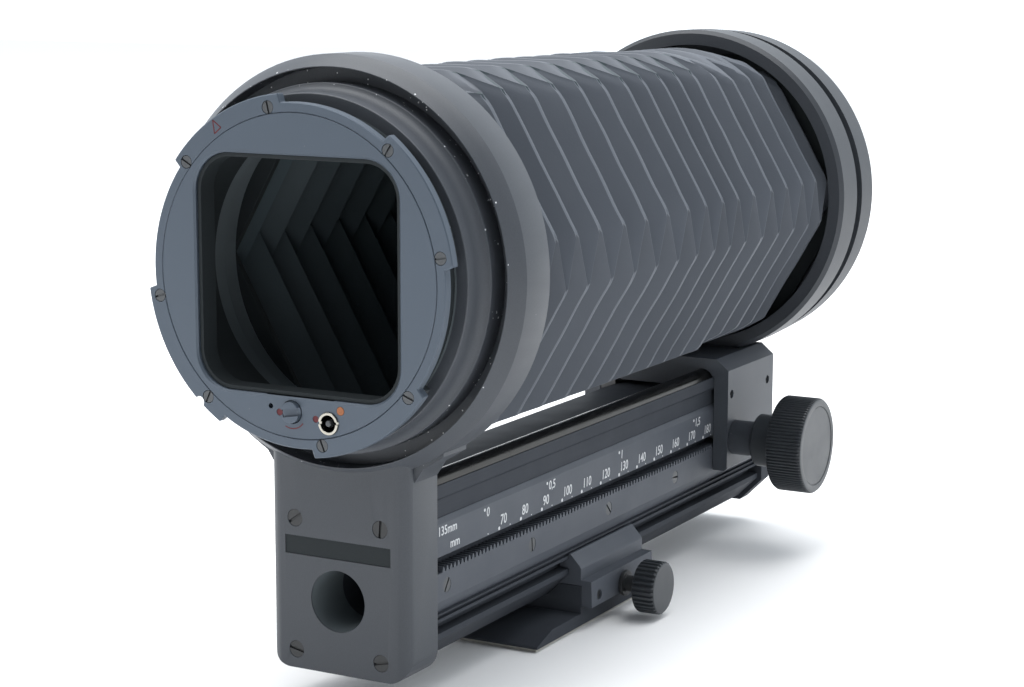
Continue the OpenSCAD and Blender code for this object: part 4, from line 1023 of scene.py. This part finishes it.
def studio_world():
    """Pale light all round, falling off towards the camera side."""
    world = bpy.data.worlds.new("studio")
    world.use_nodes = True
    t = world.node_tree
    facing = fed_node(t, "VectorMath", {0: add_node(t, "TexCoord").outputs["Generated"], 1: DIM_SIDE},
                      operation="DOT_PRODUCT").outputs["Value"]
    fade = fed_node(t, "MapRange", {"Value": facing, **SKY_FALL}, interpolation_type="SMOOTHSTEP")
    for index, value in enumerate((SKY, fade.outputs["Result"])):
        feed(value, t.nodes["Background"].inputs[index])
    return world


class BELLOWS_OT_stage(bpy.types.Operator):
    """Sets the pale floor, the soft studio light and the camera"""

    bl_idname = "bellows.stage"
    bl_label = "Stage"

    def execute(self, context):
        scene = context.scene
        h = FLOOR_HALF
        mesh = bpy.data.meshes.new("floor")
        mesh.from_pydata([(-h, -h, 0), (h, -h, 0), (h, h, 0), (-h, h, 0)], [], [(0, 1, 2, 3)])
        mesh.materials.append(bpy.data.materials["studio_floor"])
        linked("floor", mesh)
        scene.view_settings.view_transform = "Standard"
        scene.world = studio_world()
        for label, energy, size, place, aim in LAMPS:
            soft = bpy.data.lights.new(label, "AREA")
            soft.shape, soft.size, soft.energy = "SQUARE", size, energy
            lamp = linked(label, soft)
            back = (Vector(place) - Vector(aim)).to_track_quat("Z", "Y").to_matrix().to_4x4()
            lamp.matrix_world = Matrix.Translation(place) @ back
        camera = bpy.data.cameras.new("photo_view")
        camera.sensor_width, camera.lens, camera.clip_start = SENSOR_MM, LENS_MM, 0.01
        eye = linked("photo_view", camera)
        level = math.cos(ELEVATION)
        forward = Vector((-math.sin(AZIMUTH) * level, math.cos(AZIMUTH) * level, -math.sin(ELEVATION)))
        right = forward.cross(Vector((0, 0, 1))).normalized()
        turn = Matrix((right, right.cross(forward), -forward)).transposed().to_4x4()
        eye.matrix_world = Matrix.Translation(to_frame(EYE_AT)) @ turn @ Matrix.Rotation(ROLL, 4, "Z")
        scene.camera = eye
        return {"FINISHED"}


class BELLOWS_PT_panel(bpy.types.Panel):
    """Shows the settings and the steps of the bellows unit"""

    bl_label = "Bellows unit"
    bl_idname = "BELLOWS_PT_panel"
    bl_space_type = "VIEW_3D"
    bl_region_type = "UI"
    bl_category = "Bellows"

    def draw(self, context):
        for name in BELLOWS_PG_settings.__annotations__:
            self.layout.prop(context.scene.bellows_unit, name)
        for step in STEPS:
            self.layout.operator(step.bl_idname)


STEPS = (BELLOWS_OT_stage, BELLOWS_OT_materials, BELLOWS_OT_plain_nodes, BELLOWS_OT_eased_solids,
         BELLOWS_OT_mount, BELLOWS_OT_bellows, BELLOWS_OT_knobs, BELLOWS_OT_scale_marks)
CLASSES = (BELLOWS_PG_settings,) + STEPS + (BELLOWS_PT_panel,)
ORDER = (BELLOWS_OT_materials,) + tuple(s for s in STEPS if s is not BELLOWS_OT_materials)


def register():
    for cls in CLASSES:
        bpy.utils.register_class(cls)
    bpy.types.Scene.bellows_unit = bpy.props.PointerProperty(type=BELLOWS_PG_settings)


def unregister():
    del bpy.types.Scene.bellows_unit
    for cls in reversed(CLASSES):
        bpy.utils.unregister_class(cls)


def main():
    register()
    for step in ORDER:
        group, action = step.bl_idname.split(".")
        if getattr(getattr(bpy.ops, group), action)() != {"FINISHED"}:
            raise RuntimeError(step.bl_label + " did not finish")


if __name__ == "__main__":
    main()
